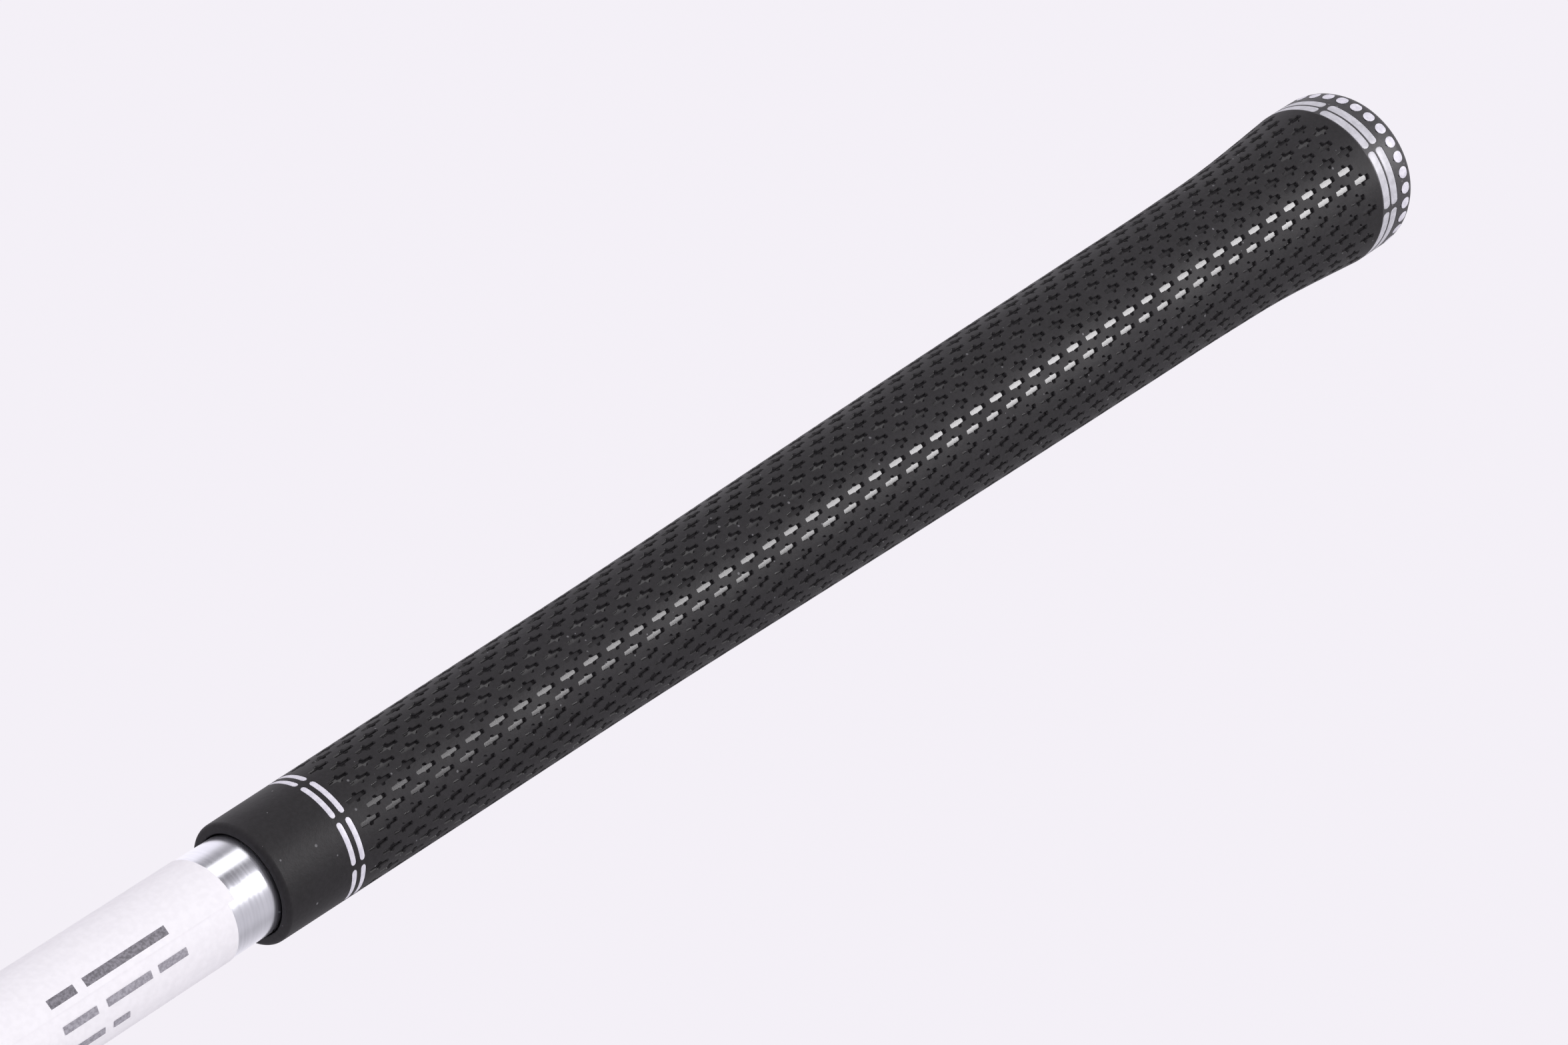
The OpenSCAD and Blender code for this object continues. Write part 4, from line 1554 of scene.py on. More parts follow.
@dataclass(frozen=True)
class HeadForm:
    """The head's outer surface, in mm: an oval skin whose front is cut off by a large ball, the face.

    Attributes:
        heel: How far the skin reaches along +X; toe, back and front are the same for the other ways.
        crown: Its height.
        drop: How far the skin would go below the ground, if the sole weren't flat there.
        square_back: How square the outline is at the back; lower is squarer. square_front is the front's.
        crown_round: How soon the crown turns in; sole_round is the sole's.
        crown_rise: How the crown bulges; sole_rise is how the sole does.
        crown_shift: How far the crown's top stands towards the front.
        parting: The height of the crown's seam in the middle, which sinks to the back by parting_slope.
        setback: How far behind the face's ball the crown starts.
        ball_radius: The radius of the face's ball.
        loft: How far the face looks upwards.
        face_middle: The middle of the face.
        waist_height: The height of the widest line at the sides, which sinks by waist_fall to the back.
        shift_rounds: How often the crown's shift is worked out anew, each time nearer.
    """

    heel: float = 48.0
    toe: float = 50.0
    back: float = 48.0
    front: float = 46.0
    crown: float = 38.0
    drop: float = 0.5
    square_back: float = 0.96
    square_front: float = 0.8
    crown_round: float = 0.86
    sole_round: float = 0.62
    crown_rise: float = 1.22
    sole_rise: float = 1.1
    crown_shift: float = -7.0
    parting: float = 21.0
    parting_slope: float = math.radians(4.2)
    setback: float = 5.0
    ball_radius: float = 300.0
    loft: float = math.radians(15)
    face_middle: tuple[float, float, float] = (-1.0, -31.6, 19.0)
    waist_height: float = 16.5
    waist_fall: float = 3.5
    shift_rounds: int = 14

    @property
    def face_way(self) -> np.ndarray:
        """The way that the middle of the face looks."""
        return np.array([0.0, -math.cos(self.loft), math.sin(self.loft)])

    @property
    def face_up(self) -> np.ndarray:
        """The way up the face."""
        return np.array([0.0, math.sin(self.loft), math.cos(self.loft)])

    @property
    def ball(self) -> np.ndarray:
        """The middle of the face's ball."""
        return np.array(self.face_middle) - self.ball_radius * self.face_way

    def waist(self, sine: np.ndarray) -> np.ndarray:
        """Gives the height of the widest line, from the sine of the angle round the head."""
        return self.waist_height - self.waist_fall * sine

    def skin(self, turn: np.ndarray, lift: np.ndarray, inset: float = 0.0) -> np.ndarray:
        """Gives a point of the skin.

        Args:
            turn: The angle round the head, from +X.
            lift: -90 degrees at the middle of the sole, 0 at the widest line and 90 at the top, in radians.
            inset: How far inside the skin.

        Returns:
            The points.
        """
        turn, lift, inset = np.broadcast_arrays(turn, lift, inset)
        cosine, sine = np.cos(turn), np.sin(turn)
        power = np.where(sine > 0, self.square_back, self.square_front)
        reach_x = np.where(cosine > 0, self.heel, self.toe) - inset
        reach_y = np.where(sine > 0, self.back, self.front) - inset
        above = lift > 0
        rho = np.maximum(np.cos(lift), 0) ** np.where(above, self.crown_round, self.sole_round)
        waist, rise = self.waist(sine), np.abs(np.sin(lift))
        top = waist + (self.crown - inset - waist) * rise**self.crown_rise
        bottom = waist - (waist + self.drop - inset) * rise**self.sole_rise
        shift = np.where(above, self.crown_shift * (1 - rho), 0)
        x = reach_x * signed_power(cosine, power) * rho
        y = reach_y * signed_power(sine, power) * rho + shift
        return np.stack([x, y, np.where(above, top, bottom)], -1)

    def within_skin(self, points: np.ndarray, inset: float = 0.0) -> np.ndarray:
        """Says which points are inside the skin moved inwards by `inset`."""
        x, y, z = np.moveaxis(points, -1, 0)
        reach_x = np.where(x > 0, self.heel, self.toe) - inset

        def place(level: np.ndarray) -> tuple[np.ndarray, np.ndarray]:
            """Gives the share of the reach and the sine of the angle at a distance to the back."""
            power = np.where(level > 0, self.square_back, self.square_front)
            reach_y = np.where(level > 0, self.back, self.front) - inset
            a, b = (np.abs(x) / reach_x) ** (2 / power), (np.abs(level) / reach_y) ** (2 / power)
            total = np.maximum(a + b, TINY)
            return total ** (power / 2), np.sign(level) * np.sqrt(b / total)

        rho, sine = place(y)
        waist = self.waist(sine)
        cosine = np.minimum(rho, 1) ** (1 / self.sole_round)
        bottom = waist - (waist + self.drop - inset) * np.sqrt(1 - cosine**2) ** self.sole_rise
        below = (rho < 1) & (z > bottom)
        rho_top, sine_top = rho, sine
        for _ in range(self.shift_rounds):
            rho_top, sine_top = place(y - self.crown_shift * (1 - np.minimum(rho_top, 1)))
        waist_top = self.waist(sine_top)
        cosine = np.minimum(rho_top, 1) ** (1 / self.crown_round)
        top = waist_top + (self.crown - inset - waist_top) * np.sqrt(1 - cosine**2) ** self.crown_rise
        above = (rho_top < 1) & (z < top)
        return np.where(z > waist_top, above, below)

    def ball_depth(self, points: np.ndarray) -> np.ndarray:
        """Gives how deep points lie behind the face's ball."""
        return self.ball_radius - np.linalg.norm(points - self.ball, axis=-1)

    def inside(self, points: np.ndarray) -> np.ndarray:
        """Says which points are inside the head."""
        return self.within_skin(points) & (self.ball_depth(points) > 0) & (points[..., 2] > 0)

    def on_crown(self, points: np.ndarray) -> np.ndarray:
        """Says which points of the skin belong to the crown piece."""
        slope = math.cos(self.parting_slope), math.sin(self.parting_slope)
        height = (points[..., 2] - self.parting) * slope[0] + points[..., 1] * slope[1]
        return (height > 0) & (self.ball_depth(points) > self.setback)

    def on_face(self, across: np.ndarray, up: np.ndarray, depth: float = 0.0) -> np.ndarray:
        """Gives the point of the face's ball that is so far across and up from its middle."""
        across, up, depth = np.broadcast_arrays(across, up, depth)
        way = self.ball_radius * self.face_way + across[..., None] * X_WAY + up[..., None] * self.face_up
        return self.ball + (self.ball_radius - depth)[..., None] * unit(way)


@dataclass
class Head:
    """The head's pieces, around its form. Its sizes are in mm.

    Attributes:
        axis: The shaft's axis.
        palette: The finishes.
        form: The outer surface.
        columns: Steps round the head.
        bore: The radius of the hosel's bore, and hosel_radius its outside.
        hosel_top: The station of the hosel's upper end.
        port_radius: The radius of the screw's port.
        seat: The stations and the bore of the screw's seat.
        port_steps: Steps round a weight's port; hosel_steps is the hosel's.
    """

    axis: Axis
    palette: Palette
    form: HeadForm = field(default_factory=HeadForm)
    columns: int = 320
    bore: float = 6.0
    hosel_radius: float = 7.2
    hosel_top: float = 58.0
    port_radius: float = 5.4
    seat: tuple[float, float, float] = (16.0, 18.5, 3.2)
    port_steps: int = 144
    hosel_steps: int = 192

    def __post_init__(self) -> None:
        """Finds the crown's seam on each column."""
        self.turn = np.arange(self.columns) / self.columns * TAU
        self.seam = bisect(
            lambda lift: self.form.on_crown(self.form.skin(self.turn, lift)),
            np.full(self.columns, TAU / 4),
            np.zeros(self.columns),
        )
        tilt = math.radians(10)
        lean = np.array([0.0, -math.sin(tilt), math.cos(tilt)])
        self.front_axis = Axis(np.array([0.0, -13.5, 0.0]) * MM, Z_WAY, X_WAY)
        self.rear_axis = Axis(np.array([0.0, 29.0, 1.0]) * MM, lean, X_WAY)

    def away(self, points: np.ndarray, axis: Axis) -> np.ndarray:
        """Gives the distance of points, in mm, from an axis."""
        offset = points - axis.origin / MM
        return np.linalg.norm(offset - (offset @ axis.along)[..., None] * axis.along, axis=-1)

    def clear_of_shaft(self, reach: float) -> Callable[[np.ndarray], np.ndarray]:
        """Gives the test for points that are farther than this from the shaft's axis."""
        return lambda points: self.away(points, self.axis) > reach

    def seam_lift(self, millimetres: float) -> np.ndarray:
        """Gives the lift angles that lie so far above the seam, measured along the skin."""
        step = 0.01
        way = self.form.skin(self.turn, self.seam + step) - self.form.skin(self.turn, self.seam)
        return self.seam + millimetres * step / np.linalg.norm(way, axis=-1)

    def crown_shell(self) -> None:
        """Builds the crown, with a small rounded groove along its seam."""
        form, turn = self.form, self.turn
        groove = ((0.06, 0.7), (0.06, 0.3), (0.12, 0.12), (0.25, 0.03), (0.45, 0.0))
        lifts = [self.seam_lift(above) for above, _ in groove]
        insets = [inset for _, inset in groove]
        start = lifts[-1]
        share = np.linspace(0, 1, 74)[1:]
        lifts += [start + (TAU / 4 - start) * s for s in share]
        insets += [0.0] * len(share)
        lift, inset = np.array(lifts), np.array(insets)[:, None]
        outer = form.skin(turn, lift, inset)
        inner = form.skin(turn, lift, np.maximum(inset + 0.2, 1.0))
        keep = self.clear_of_shaft(8.0)
        piece = shell("crown_shell", outer, inner, self.palette["crown_paint"], keep, (-1,))
        tie(piece, "head", "crown_paint", "crown")

    def sole_shell(self) -> None:
        """Builds the sole and the skirt up to the seam, and the ledge that the crown is bonded to."""
        form, turn = self.form, self.turn
        fine = -np.linspace(TAU / 4, 0, 4000)
        line = form.skin(0.6, fine)
        run = runs_along(line)
        sole = np.interp(np.linspace(0, run[-1], 68), run, fine)
        lifts = [np.full(self.columns, lift) for lift in sole]
        end = self.seam_lift(-0.45)
        lifts += [end * share for share in np.linspace(0, 1, 14)[1:]]
        insets = [0.0] * len(lifts)
        ledge = ((-0.25, 0.03), (-0.12, 0.12), (-0.06, 0.3), (-0.06, 1.1), (2.0, 1.1), (5.0, 1.1))
        lifts += [self.seam_lift(above) for above, _ in ledge]
        insets += [inset for _, inset in ledge]
        lift, inset = np.array(lifts), np.array(insets)[:, None]
        outer = form.skin(turn, lift, inset)
        depth = form.ball_depth(outer)
        under = 0.15 * np.clip((5.8 - depth) / 0.6, 0, 1)
        outer = form.skin(turn, lift, inset + under)
        inner = form.skin(turn, lift, np.maximum(inset + 1.0, 1.5))
        flat = outer[..., 2] < 0
        outer[..., 2] = np.maximum(outer[..., 2], 0)
        for axis, reach in ((self.axis, 7.0), (self.front_axis, 8.4), (self.rear_axis, 10.9)):
            sunk = 0.14 * np.clip((reach + 0.1 - self.away(outer, axis)) / 0.5, 0, 1)
            outer += np.where(outer[..., 2] < 12, sunk, 0)[..., None] * axis.along
        inner[..., 2] = np.maximum(inner[..., 2], np.where(flat, 1.0, -1))

        def keep(middle: np.ndarray) -> np.ndarray:
            """Says which quads are behind the face's rim and outside the ports."""
            good = form.ball_depth(middle) > 3.5
            good &= self.away(middle, self.axis) > 6.9
            good &= (self.away(middle, self.front_axis) > 7.4) | (middle[..., 2] > 12)
            return good & ((self.away(middle, self.rear_axis) > 9.9) | (middle[..., 2] > 14))

        piece = shell("sole_shell", outer, inner, self.palette["head_steel"], keep, (0,))
        tie(piece, "head", "head_steel", "head_body")

    def edge(self, clock: np.ndarray, depth: float, inset: float = 0.0) -> np.ndarray:
        """Gives how far from the face's middle a ball this deep meets the skin.

        Args:
            clock: The angle round the face.
            depth: How deep behind the face.
            inset: How far inside the skin.

        Returns:
            The distances, in mm along the face.
        """
        return bisect(
            lambda reach: self.form.within_skin(self.at_clock(clock, reach, depth), inset),
            np.full(clock.shape, 1.0),
            np.full(clock.shape, 75.0),
        )

    def at_clock(self, clock: np.ndarray, reach: np.ndarray, depth: float) -> np.ndarray:
        """Gives a point of the face by its angle and distance from the face's middle."""
        return self.form.on_face(reach * np.cos(clock), reach * np.sin(clock), depth)

    def face_cup(self) -> None:
        """Builds the rim of the face: from the plate's edge, round the corner and back along the skin."""
        even = np.linspace(0, TAU, 400, endpoint=False)
        clock = np.arctan2(0.5 * np.sin(even), np.cos(even))
        plate, corner = self.edge(clock, 0, 1.5), self.edge(clock, 0)
        bend = 0.7
        near, far = self.at_clock(clock, corner - bend, 0), self.at_clock(clock, self.edge(clock, bend), bend)
        tip = self.at_clock(clock, corner, 0)
        outer = [self.at_clock(clock, plate, 0.9), self.at_clock(clock, plate, 0.15)]
        outer.append(self.at_clock(clock, plate + 0.12, 0.02))
        outer += [((1 - t) ** 2) * near + 2 * t * (1 - t) * tip + t**2 * far for t in np.linspace(0, 1, 7)]
        back = ((1.2, 0.0), (2.0, 0.0), (3.0, 0.0), (4.0, 0.0), (4.7, 0.0), (4.88, 0.08), (4.9, 0.3))
        outer += [self.at_clock(clock, self.edge(clock, depth, inset), depth) for depth, inset in back]
        wall = [(plate, 2.2)] * 3 + [(self.edge(clock, 2.2, 1.6), 2.2)] * 9
        wall += [(self.edge(clock, k, 1.6), k) for k in (3.0, 4.0, 4.7, 4.88, 4.9)]
        inner = [self.at_clock(clock, np.minimum(reach, self.edge(clock, k, 1.6)), k) for reach, k in wall]
        outer_grid, inner_grid = np.array(outer), np.array(inner)
        for grid, floor in ((outer_grid, 0.0), (inner_grid, 0.6)):
            grid[..., 2] = np.maximum(grid[..., 2], floor)
        keep = self.clear_of_shaft(6.9)
        piece = shell("face_cup", outer_grid, inner_grid, self.palette["head_steel"], keep)
        tie(piece, "head", "head_steel", "head_body")

    def face_plate(self) -> None:
        """Builds the face plate, with its score lines."""
        form, inset, shrink = self.form, 1.5, 0.06
        straight = np.array([TAU / 4, -TAU / 4])
        top, bottom = self.edge(straight, 0, inset) * [1, -1]
        cosines = (bottom + top) / 2 - (top - bottom) / 2 * np.cos(np.linspace(0, math.pi, 70))
        lines = np.arange(-2, 4) * 4.4 - 1.0
        groove = np.array([-0.42, -0.3, -0.16, 0.16, 0.3, 0.42])
        rows = np.unique(np.concatenate([cosines[1:-1], (lines[:, None] + groove).ravel()]))
        rows = np.concatenate([[bottom + shrink], rows, [top - shrink]])
        rows = rows[(rows >= bottom + shrink) & (rows <= top - shrink)]
        ends = []
        for side in (-1, 1):
            reach = bisect(
                lambda across, side=side: form.within_skin(form.on_face(side * across, rows), inset),
                np.zeros(len(rows)),
                np.full(len(rows), 60.0),
            )
            ends.append(side * (reach - shrink))
        left, right = ends
        widest = TAU / 4 * 0.96
        share = np.sin(np.linspace(-1, 1, 150) * widest) / math.sin(widest)
        middle, half = (left + right)[:, None] / 2, np.maximum(right - left, 0.02)[:, None] / 2
        across, up = middle + half * share, np.broadcast_to(rows[:, None], (len(rows), len(share)))
        near = np.abs(up[..., None] - lines).min(-1)
        sunk = 0.34 * np.clip((0.42 - near) / 0.26, 0, 1) * np.clip((27 - np.abs(across)) / 0.5, 0, 1)
        border = np.zeros_like(up)
        border[[0, -1]] = border[:, [0, -1]] = 0.14
        outer = form.on_face(across, up, np.maximum(sunk, border))
        inner = form.on_face(across, up, 2.1)
        keep = self.clear_of_shaft(7.0)
        piece = shell("face_plate", outer, inner, self.palette["face_steel"], keep, wrap_cols=False)
        tie(piece, "head", "face_steel", "face_insert")

    def sole_height(self, x: np.ndarray, y: np.ndarray) -> np.ndarray:
        """Gives the height of the sole's surface over a point of the ground."""
        x, y = np.broadcast_arrays(x, y)
        low, high = np.full(x.shape, -0.001), np.full(x.shape, 12.0)
        return bisect(lambda z: self.form.inside(np.stack([x, y, z], -1)), high, low)

    def channel_strip(self) -> None:
        """Builds the strip of elastomer across the sole behind the face."""
        radius, start, stop, y = 2.15, -32.0, 10.0, -25.5
        rows = -np.cos(np.linspace(0, math.pi, 25))
        bow = np.sqrt(np.maximum(1 - rows**2, 1e-4)) * radius
        share = np.linspace(-1, 1, 121)
        middle, half = (start + stop) / 2, (stop - start) / 2 + bow[:, None]
        x = middle + half * share
        across = np.broadcast_to(y + radius * rows[:, None], x.shape)
        height = self.sole_height(x, across)
        edge = np.maximum(np.abs(rows[:, None]), np.abs(x - middle) / half)
        proud = np.where(edge < 0.86, 0.08, 0.02)
        outer = np.stack([x, across, height - proud * np.clip((1 - edge) * 12, -2, 1)], -1)
        outer[..., 2] = np.maximum(outer[..., 2], 0.0)
        inner = np.stack([x, across, height + 1.2], -1)
        piece = shell("channel_strip", outer, inner, self.palette["elastomer"], wrap_cols=False)
        tie(piece, "head", "elastomer", "channel_insert")

    def in_line(
        self, axis: Axis, reach: np.ndarray | float, turn: np.ndarray
    ) -> Callable[[np.ndarray], np.ndarray]:
        """Gives the test for which stations of the lines beside an axis are inside the head."""
        return lambda station: self.form.inside(axis.place(station * MM, reach * MM, turn) / MM)

    def crossing(
        self, turn: np.ndarray, reach: np.ndarray | float, scan: np.ndarray, back: float
    ) -> np.ndarray:
        """Finds where lines beside the shaft's axis go through the head's surface.

        Args:
            turn: The turn of each line.
            reach: Its distance from the axis.
            scan: The stations to try, from outside the head inwards.
            back: The way from the first of these that is inside to a station outside.

        Returns:
            The stations.
        """
        inside = self.in_line(self.axis, reach, turn)
        hit = np.stack([inside(np.full(turn.shape, station)) for station in scan])
        first = scan[np.argmax(hit, axis=0)]
        return bisect(inside, first, first + back)

    def turned_part(
        self,
        name: str,
        axis: Axis,
        turn: np.ndarray,
        section: list[tuple[np.ndarray | float, np.ndarray | float]],
        sharp_degrees: float,
    ) -> None:
        """Builds a ring of the body whose section changes round an axis, cut off flat at the ground.

        Args:
            name: The piece's name.
            axis: The axis.
            turn: The turns of its columns.
            section: (station, radius) rows, each the same all round or a value for each column.
            sharp_degrees: Edges sharper than this stay crisp.
        """
        rows = [(np.multiply(at, MM), np.multiply(reach, MM)) for at, reach in section]
        grid = np.array([axis.place(at, reach, turn) for at, reach in rows])
        grid[..., 2] = np.maximum(grid[..., 2], 0.0)
        faces = [Batch(grid_quads(len(grid), len(turn), wrap_rows=True))]
        piece = make_piece(name, grid, faces, self.palette["head_steel"], sharp_degrees)
        tie(piece, "head", "head_steel", "head_body")

    def ring_on_sole(
        self, name: str, axis: Axis, radius: float, outside: float, rows: list[tuple[float, float]]
    ) -> None:
        """Builds the machined rim of a port, flush with the sole, with what lies behind it.

        Args:
            name: The piece's name.
            axis: The port's axis, into the head.
            radius: The radius of its mouth.
            outside: The outer radius of its rim.
            rows: (station, radius) of the rest of its section, from the mouth's wall to the back of the rim.
        """
        count = self.port_steps
        turn = np.arange(count) / count * TAU
        lip = [(outside, 0.9), (outside, 0.05), (outside - 0.06, 0.0)]
        lip += [(r, 0.0) for r in np.linspace(outside - 0.3, radius + 0.35, 4)]
        lip += [(radius + 0.12, 0.06), (radius, 0.3)]
        section = []
        for reach, lower in lip:
            sole = bisect(self.in_line(axis, reach, turn), np.full(count, 9.0), np.full(count, -6.0))
            section.append((sole + lower, reach))
        self.turned_part(name, axis, turn, section + rows, 30)

    def ports(self) -> None:
        """Builds the rims and pockets of the two weights' ports in the sole."""
        table = (("front_port", self.front_axis, 6.5, 3.8), ("rear_port", self.rear_axis, 9.0, 4.8))
        for name, axis, radius, height in table:
            floor = 0.7 + height + 0.8
            core, top = 3.75, floor + 7.3
            back = [(floor, radius), (floor, 2.0), (top, 2.0), (top, core), (floor + 1.5, core)]
            back += [(floor + 1.5, radius + 1.5), (floor - 1.2, radius + 1.5)]
            self.ring_on_sole(name, axis, radius, radius + 1.9, back)

    def hosel(self) -> None:
        """Builds the hosel: the neck that flares into the head, its bore, the screw's seat and port."""
        count = self.hosel_steps
        turn = np.arange(count) / count * TAU
        toe_side = (1 + np.cos(turn)) / 2
        back_side = (1 - np.sin(turn)) / 2
        foot = 8.5 + 3.2 * toe_side**1.5 + 1.3 * back_side * (1 - toe_side)
        downwards, upwards, step = np.arange(60, 8, -0.25), np.arange(-8, 24, 0.25), 0.3
        low = self.crossing(turn, foot, downwards, step)
        waves = np.fft.rfft(self.crossing(turn, 7.7, downwards, step))
        high = np.fft.irfft(waves * (np.arange(len(waves)) < 10), count)
        top = self.hosel_top
        section = [(low - 1.6, 7.0), (low - 0.7, foot), (low - 0.05, foot + 0.02)]
        rest = high + 7
        bend = ((low, foot), (high, 7.75), (rest, 7.35))
        for t in np.linspace(0, 1, 15)[1:]:
            weights = ((1 - t) ** 2, 2 * t * (1 - t), t**2)
            section.append(tuple(sum(w * point[k] for w, point in zip(weights, bend)) for k in (0, 1)))
        for share in np.linspace(0, 1, 8)[1:]:
            section.append((rest + (top - 0.35 - rest) * share, 7.35 - 0.15 * share))
        seat_low, seat_high, seat_radius = self.seat
        section += [(top, self.hosel_radius - 0.25), (top, self.bore + 0.25), (top - 0.3, self.bore)]
        section += [(seat_high, self.bore), (seat_high, seat_radius), (seat_low, seat_radius)]
        section.append((seat_low, self.port_radius))
        sole = self.crossing(turn, self.port_radius, upwards, -step)
        section += [(sole + 0.35, self.port_radius), (sole + 0.05, self.port_radius + 0.12)]
        rim = 1.6
        for more, lower in ((0.35, 0.0), (0.8, 0.0), (1.2, 0.0), (rim - 0.05, 0.0), (rim, 0.05), (rim, 1.4)):
            reach = self.port_radius + more
            section.append((self.crossing(turn, reach, upwards, -step) + lower, reach))
        self.turned_part("hosel_neck", self.axis, turn, section, 38)

    def build(self) -> None:
        """Builds the whole head."""
        self.sole_shell()
        self.crown_shell()
        self.face_cup()
        self.face_plate()
        self.channel_strip()
        self.ports()
        self.hosel()


# ---------------------------------------------------------------- round pieces


@dataclass
class RoundPieces:
    """The turned pieces between the shaft and the head, and the screws and weights in the sole."""

    axis: Axis
    head: Head
    palette: Palette
    slots: dict[str, str]

    def turned(
        self,
        name: str,
        axis: Axis,
        corners: list[tuple[float, ...]],
        finish: str,
        body: str,
        node: str,
        segments: int = 128,
        steps: int = 4,
    ) -> None:
        """Turns a piece that stands for one node.

        Args:
            name: The piece's name.
            axis: Its axis.
            corners: Its section, as rounded() takes it. Two next to each other may be on the axis: a solid
                screw's far end, and then the floor of its socket.
            finish: Its finish.
            body: The body that it rides on.
            node: The node that it replaces.
            segments: Steps round the axis.
            steps: Points on each rounding.
        """
        outline = rounded(corners, steps)
        on_axis = np.flatnonzero(outline[:, 1] < ON_AXIS)
        if len(on_axis):
            outline = np.roll(outline, -(on_axis[0] + 1), axis=0)
        piece = lathe(name, axis, outline, self.palette[finish], segments)
        tie(piece, body, self.slots[node], node)

    def above_head(self) -> None:
        """Builds the adapter sleeve, the bright ring and the ferrule."""
        sleeve = [(19.5, 2.5, 0.2), (19.5, 5.95, 0.6), (63, 5.95, 0), (63, 7.18, 0.25), (70, 7.18, 0.4)]
        sleeve += [(70, 4.27, 0.1), (34, 4.27, 0), (34, 2.5, 0)]
        self.turned("adapter_barrel", self.axis, sleeve, "adapter_grey", "shaft_assembly", "adapter_sleeve")
        ring = [(70.02, 4.27, 0), (70.02, 6.7, 0.2), (71.2, 6.7, 0.2), (71.2, 4.27, 0)]
        self.turned("ferrule_bright_ring", self.axis, ring, "trim", "shaft_assembly", "ferrule_ring")
        boot = [(71.22, 4.27, 0), (71.22, 6.6, 0.25), (78, 6.3, 2), (85, 5.7, 3), (93, 5.0, 0.6)]
        boot += [(94, 4.45, 0.3), (94, 4.27, 0)]
        self.turned("ferrule_boot", self.axis, boot, "gloss_black", "shaft_assembly", "ferrule", steps=6)

    def screws(self) -> None:
        """Builds the hosel screw, its washer and clip."""
        lobed, body = 0.13, "hosel_bolt"
        screw = [(10, 2.1, 0.15, lobed), (10, 4.4, 0.5), (14.5, 4.4, 0.2), (14.5, 2.45, 0.1)]
        screw += [(27.6, 2.45, 0.35), (28, 0.0, 0), (12.7, 0.0, 0), (12.6, 2.05, 0, lobed)]
        self.turned("hosel_screw_turned", self.axis, screw, "screw_steel", body, "hosel_screw", SCREW_STEPS)
        washer = [(14.52, 2.5, 0.1), (14.52, 5.08, 0.2), (15.98, 5.08, 0.2), (15.98, 2.5, 0.1)]
        self.turned("hosel_washer_ring", self.axis, washer, "trim", "seat_washer", "hosel_washer", RING_STEPS)
        clip = [(16.02, 2.47, 0.1), (16.02, 3.04, 0.15), (16.88, 3.04, 0.15), (16.88, 2.47, 0.1)]
        self.turned("hosel_clip_ring", self.axis, clip, "elastomer", body, "hosel_screw_clip", RING_STEPS)

    def weights(self) -> None:
        """Builds the two weights, their pads and their screws."""
        table = (("front", self.head.front_axis, 6.4, 3.8), ("rear", self.head.rear_axis, 8.9, 4.8))
        for place, axis, radius, height in table:
            low, high = 0.7, 0.7 + height
            seat, groove = low + 2.45, radius - 1.1
            plate = [(low, 3.5, 0.25), (low, groove - 0.25, 0.05), (low + 0.22, groove - 0.1, 0.05)]
            plate += [(low + 0.22, groove + 0.1, 0.05), (low, groove + 0.25, 0.05), (low, radius, 0.45)]
            plate += [(high, radius, 0.3), (high, 2.0, 0), (seat, 2.0, 0), (seat, 3.5, 0)]
            body = f"{place}_plate"
            self.turned(f"{place}_weight_disc", axis, plate, "weight_metal", body, f"{place}_weight")
            near, far = high + 0.01, high + 0.79
            pad = [(near, 2.0, 0), (near, radius - 0.2, 0.15), (far, radius - 0.2, 0.15), (far, 2.0, 0)]
            node = f"{place}_weight_pad"
            self.turned(f"{place}_weight_cushion", axis, pad, "elastomer", body, node, RING_STEPS)
            top, end = low + 0.2, high + 0.8 + 5.0
            lobed, under = 0.12, top + 2.2
            screw = [(top, 1.75, 0.12, lobed), (top, 3.38, 0.4), (under, 3.38, 0.15), (under, 1.95, 0.1)]
            screw += [(end - 0.3, 1.95, 0.3), (end, 0.0, 0), (top + 1.7, 0.0, 0), (top + 1.6, 1.7, 0, lobed)]
            bolt, node = f"{place}_bolt", f"{place}_weight_screw"
            self.turned(f"{place}_screw_turned", axis, screw, "screw_steel", bolt, node, SCREW_STEPS)

    def index_marks(self) -> None:
        """Builds thin pale ticks round the adapter ring and one on the hosel below it."""
        half, corners = 0.035, 8
        quads = [[0, 1, 3, 2], [4, 6, 7, 5], [0, 4, 5, 1], [2, 3, 7, 6], [0, 2, 6, 4], [1, 5, 7, 3]]
        ring = [(59.6, 61.9, 7.2, k * TAU / 8) for k in range(8)]
        for name, body, ticks in (
            ("adapter_ticks", "shaft_assembly", ring),
            ("hosel_tick", "head", [(53.5, 56.8, 7.21, 0.0)]),
        ):
            points = [
                self.axis.place(station * MM, (radius + depth) * MM, turn + aside)
                for low, high, radius, turn in ticks
                for depth in (-0.15, 0.012)
                for station in (low, high)
                for aside in (-half, half)
            ]
            faces = np.concatenate([np.array(quads) + corners * k for k in range(len(ticks))])
            piece = make_piece(name, np.array(points), [Batch(faces)], self.palette["mark_paint"])
            tie(piece, body, "trim")

    def build(self) -> None:
        """Builds all the round pieces."""
        self.above_head()
        self.screws()
        self.weights()
        self.index_marks()


# The nodes that are shown as they are, each with its finish.
PLAIN_NODES = {"grip_tape": "tape", "butt_insert": "foam", "tip_plug": "foam", "adapter_ring": "ring_black"}


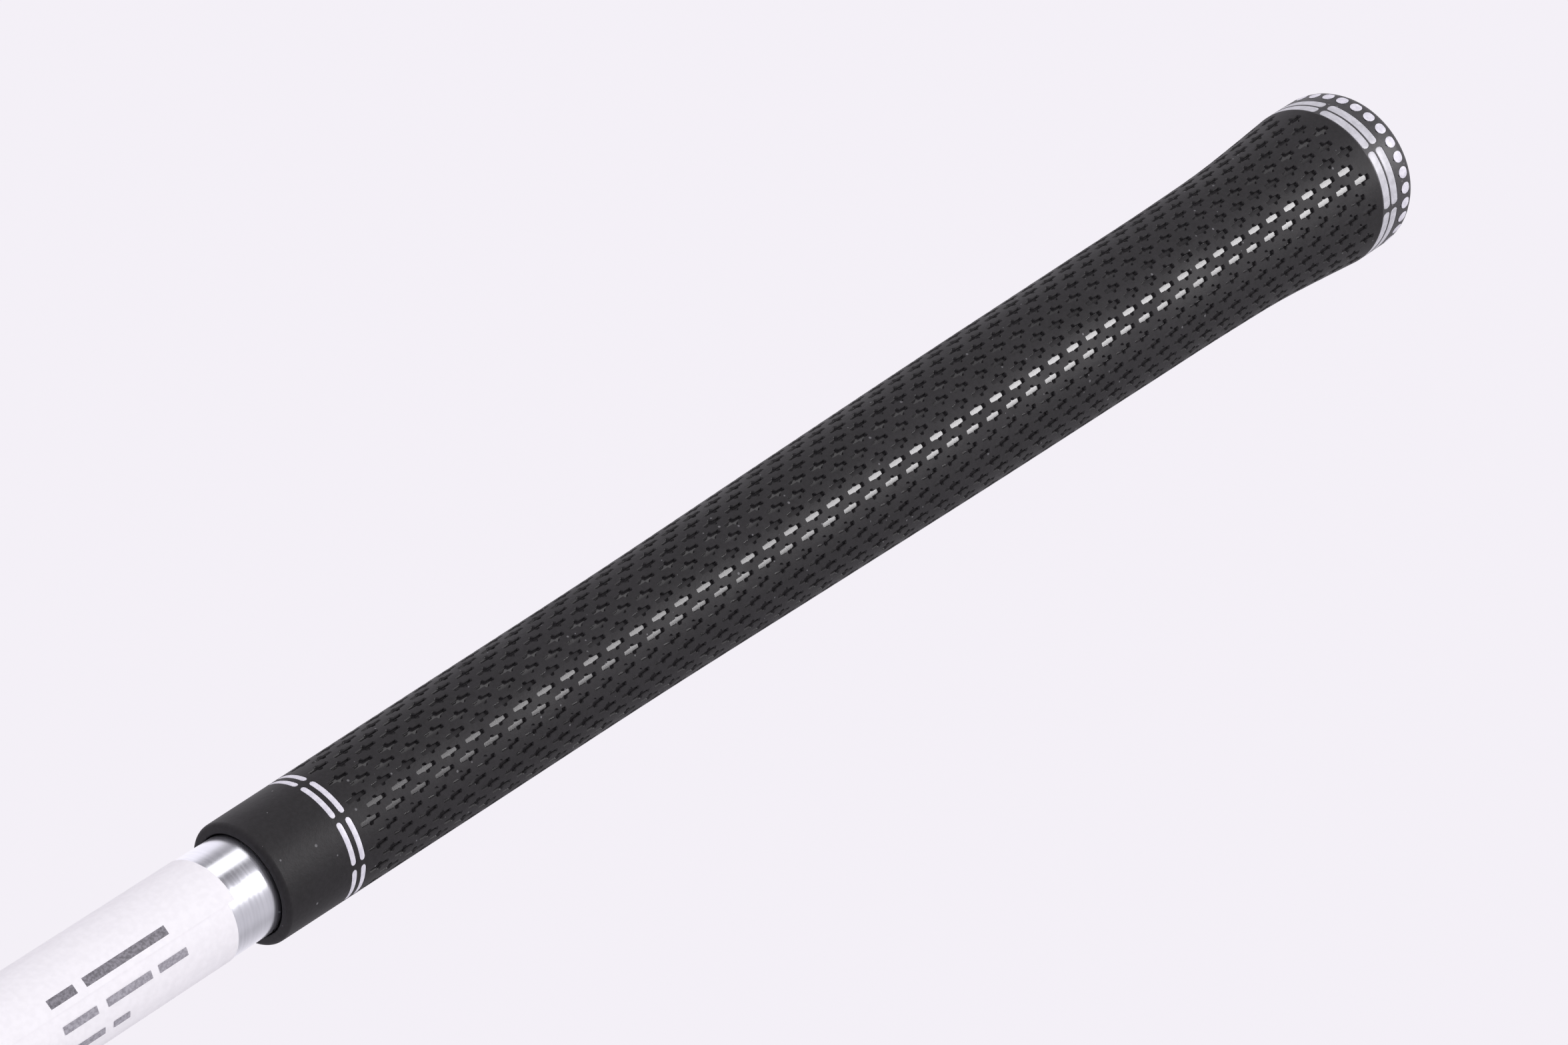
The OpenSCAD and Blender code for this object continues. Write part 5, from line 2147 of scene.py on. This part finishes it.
def main() -> None:
    """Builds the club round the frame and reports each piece."""
    logging.basicConfig(level=logging.INFO, format="%(message)s")
    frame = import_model()
    axis = Axis.of_shaft(frame)
    palette = Palette(axis)
    studio = Studio(axis)
    studio.build(palette)
    Grip(axis, palette, studio.camera_turn + math.radians(1.84)).build()
    ShaftAndLabel(axis, palette, studio.camera_turn).build()
    head = Head(axis, palette)
    head.build()
    slots = {part["node"]: part["material_slot"] for part in frame["record"]["subparts"]}
    RoundPieces(axis, head, palette, slots).build()
    for node, finish in PLAIN_NODES.items():
        materials = frame["nodes"][node].data.materials
        materials.clear()
        materials.append(palette[finish])


if __name__ == "__main__":
    main()
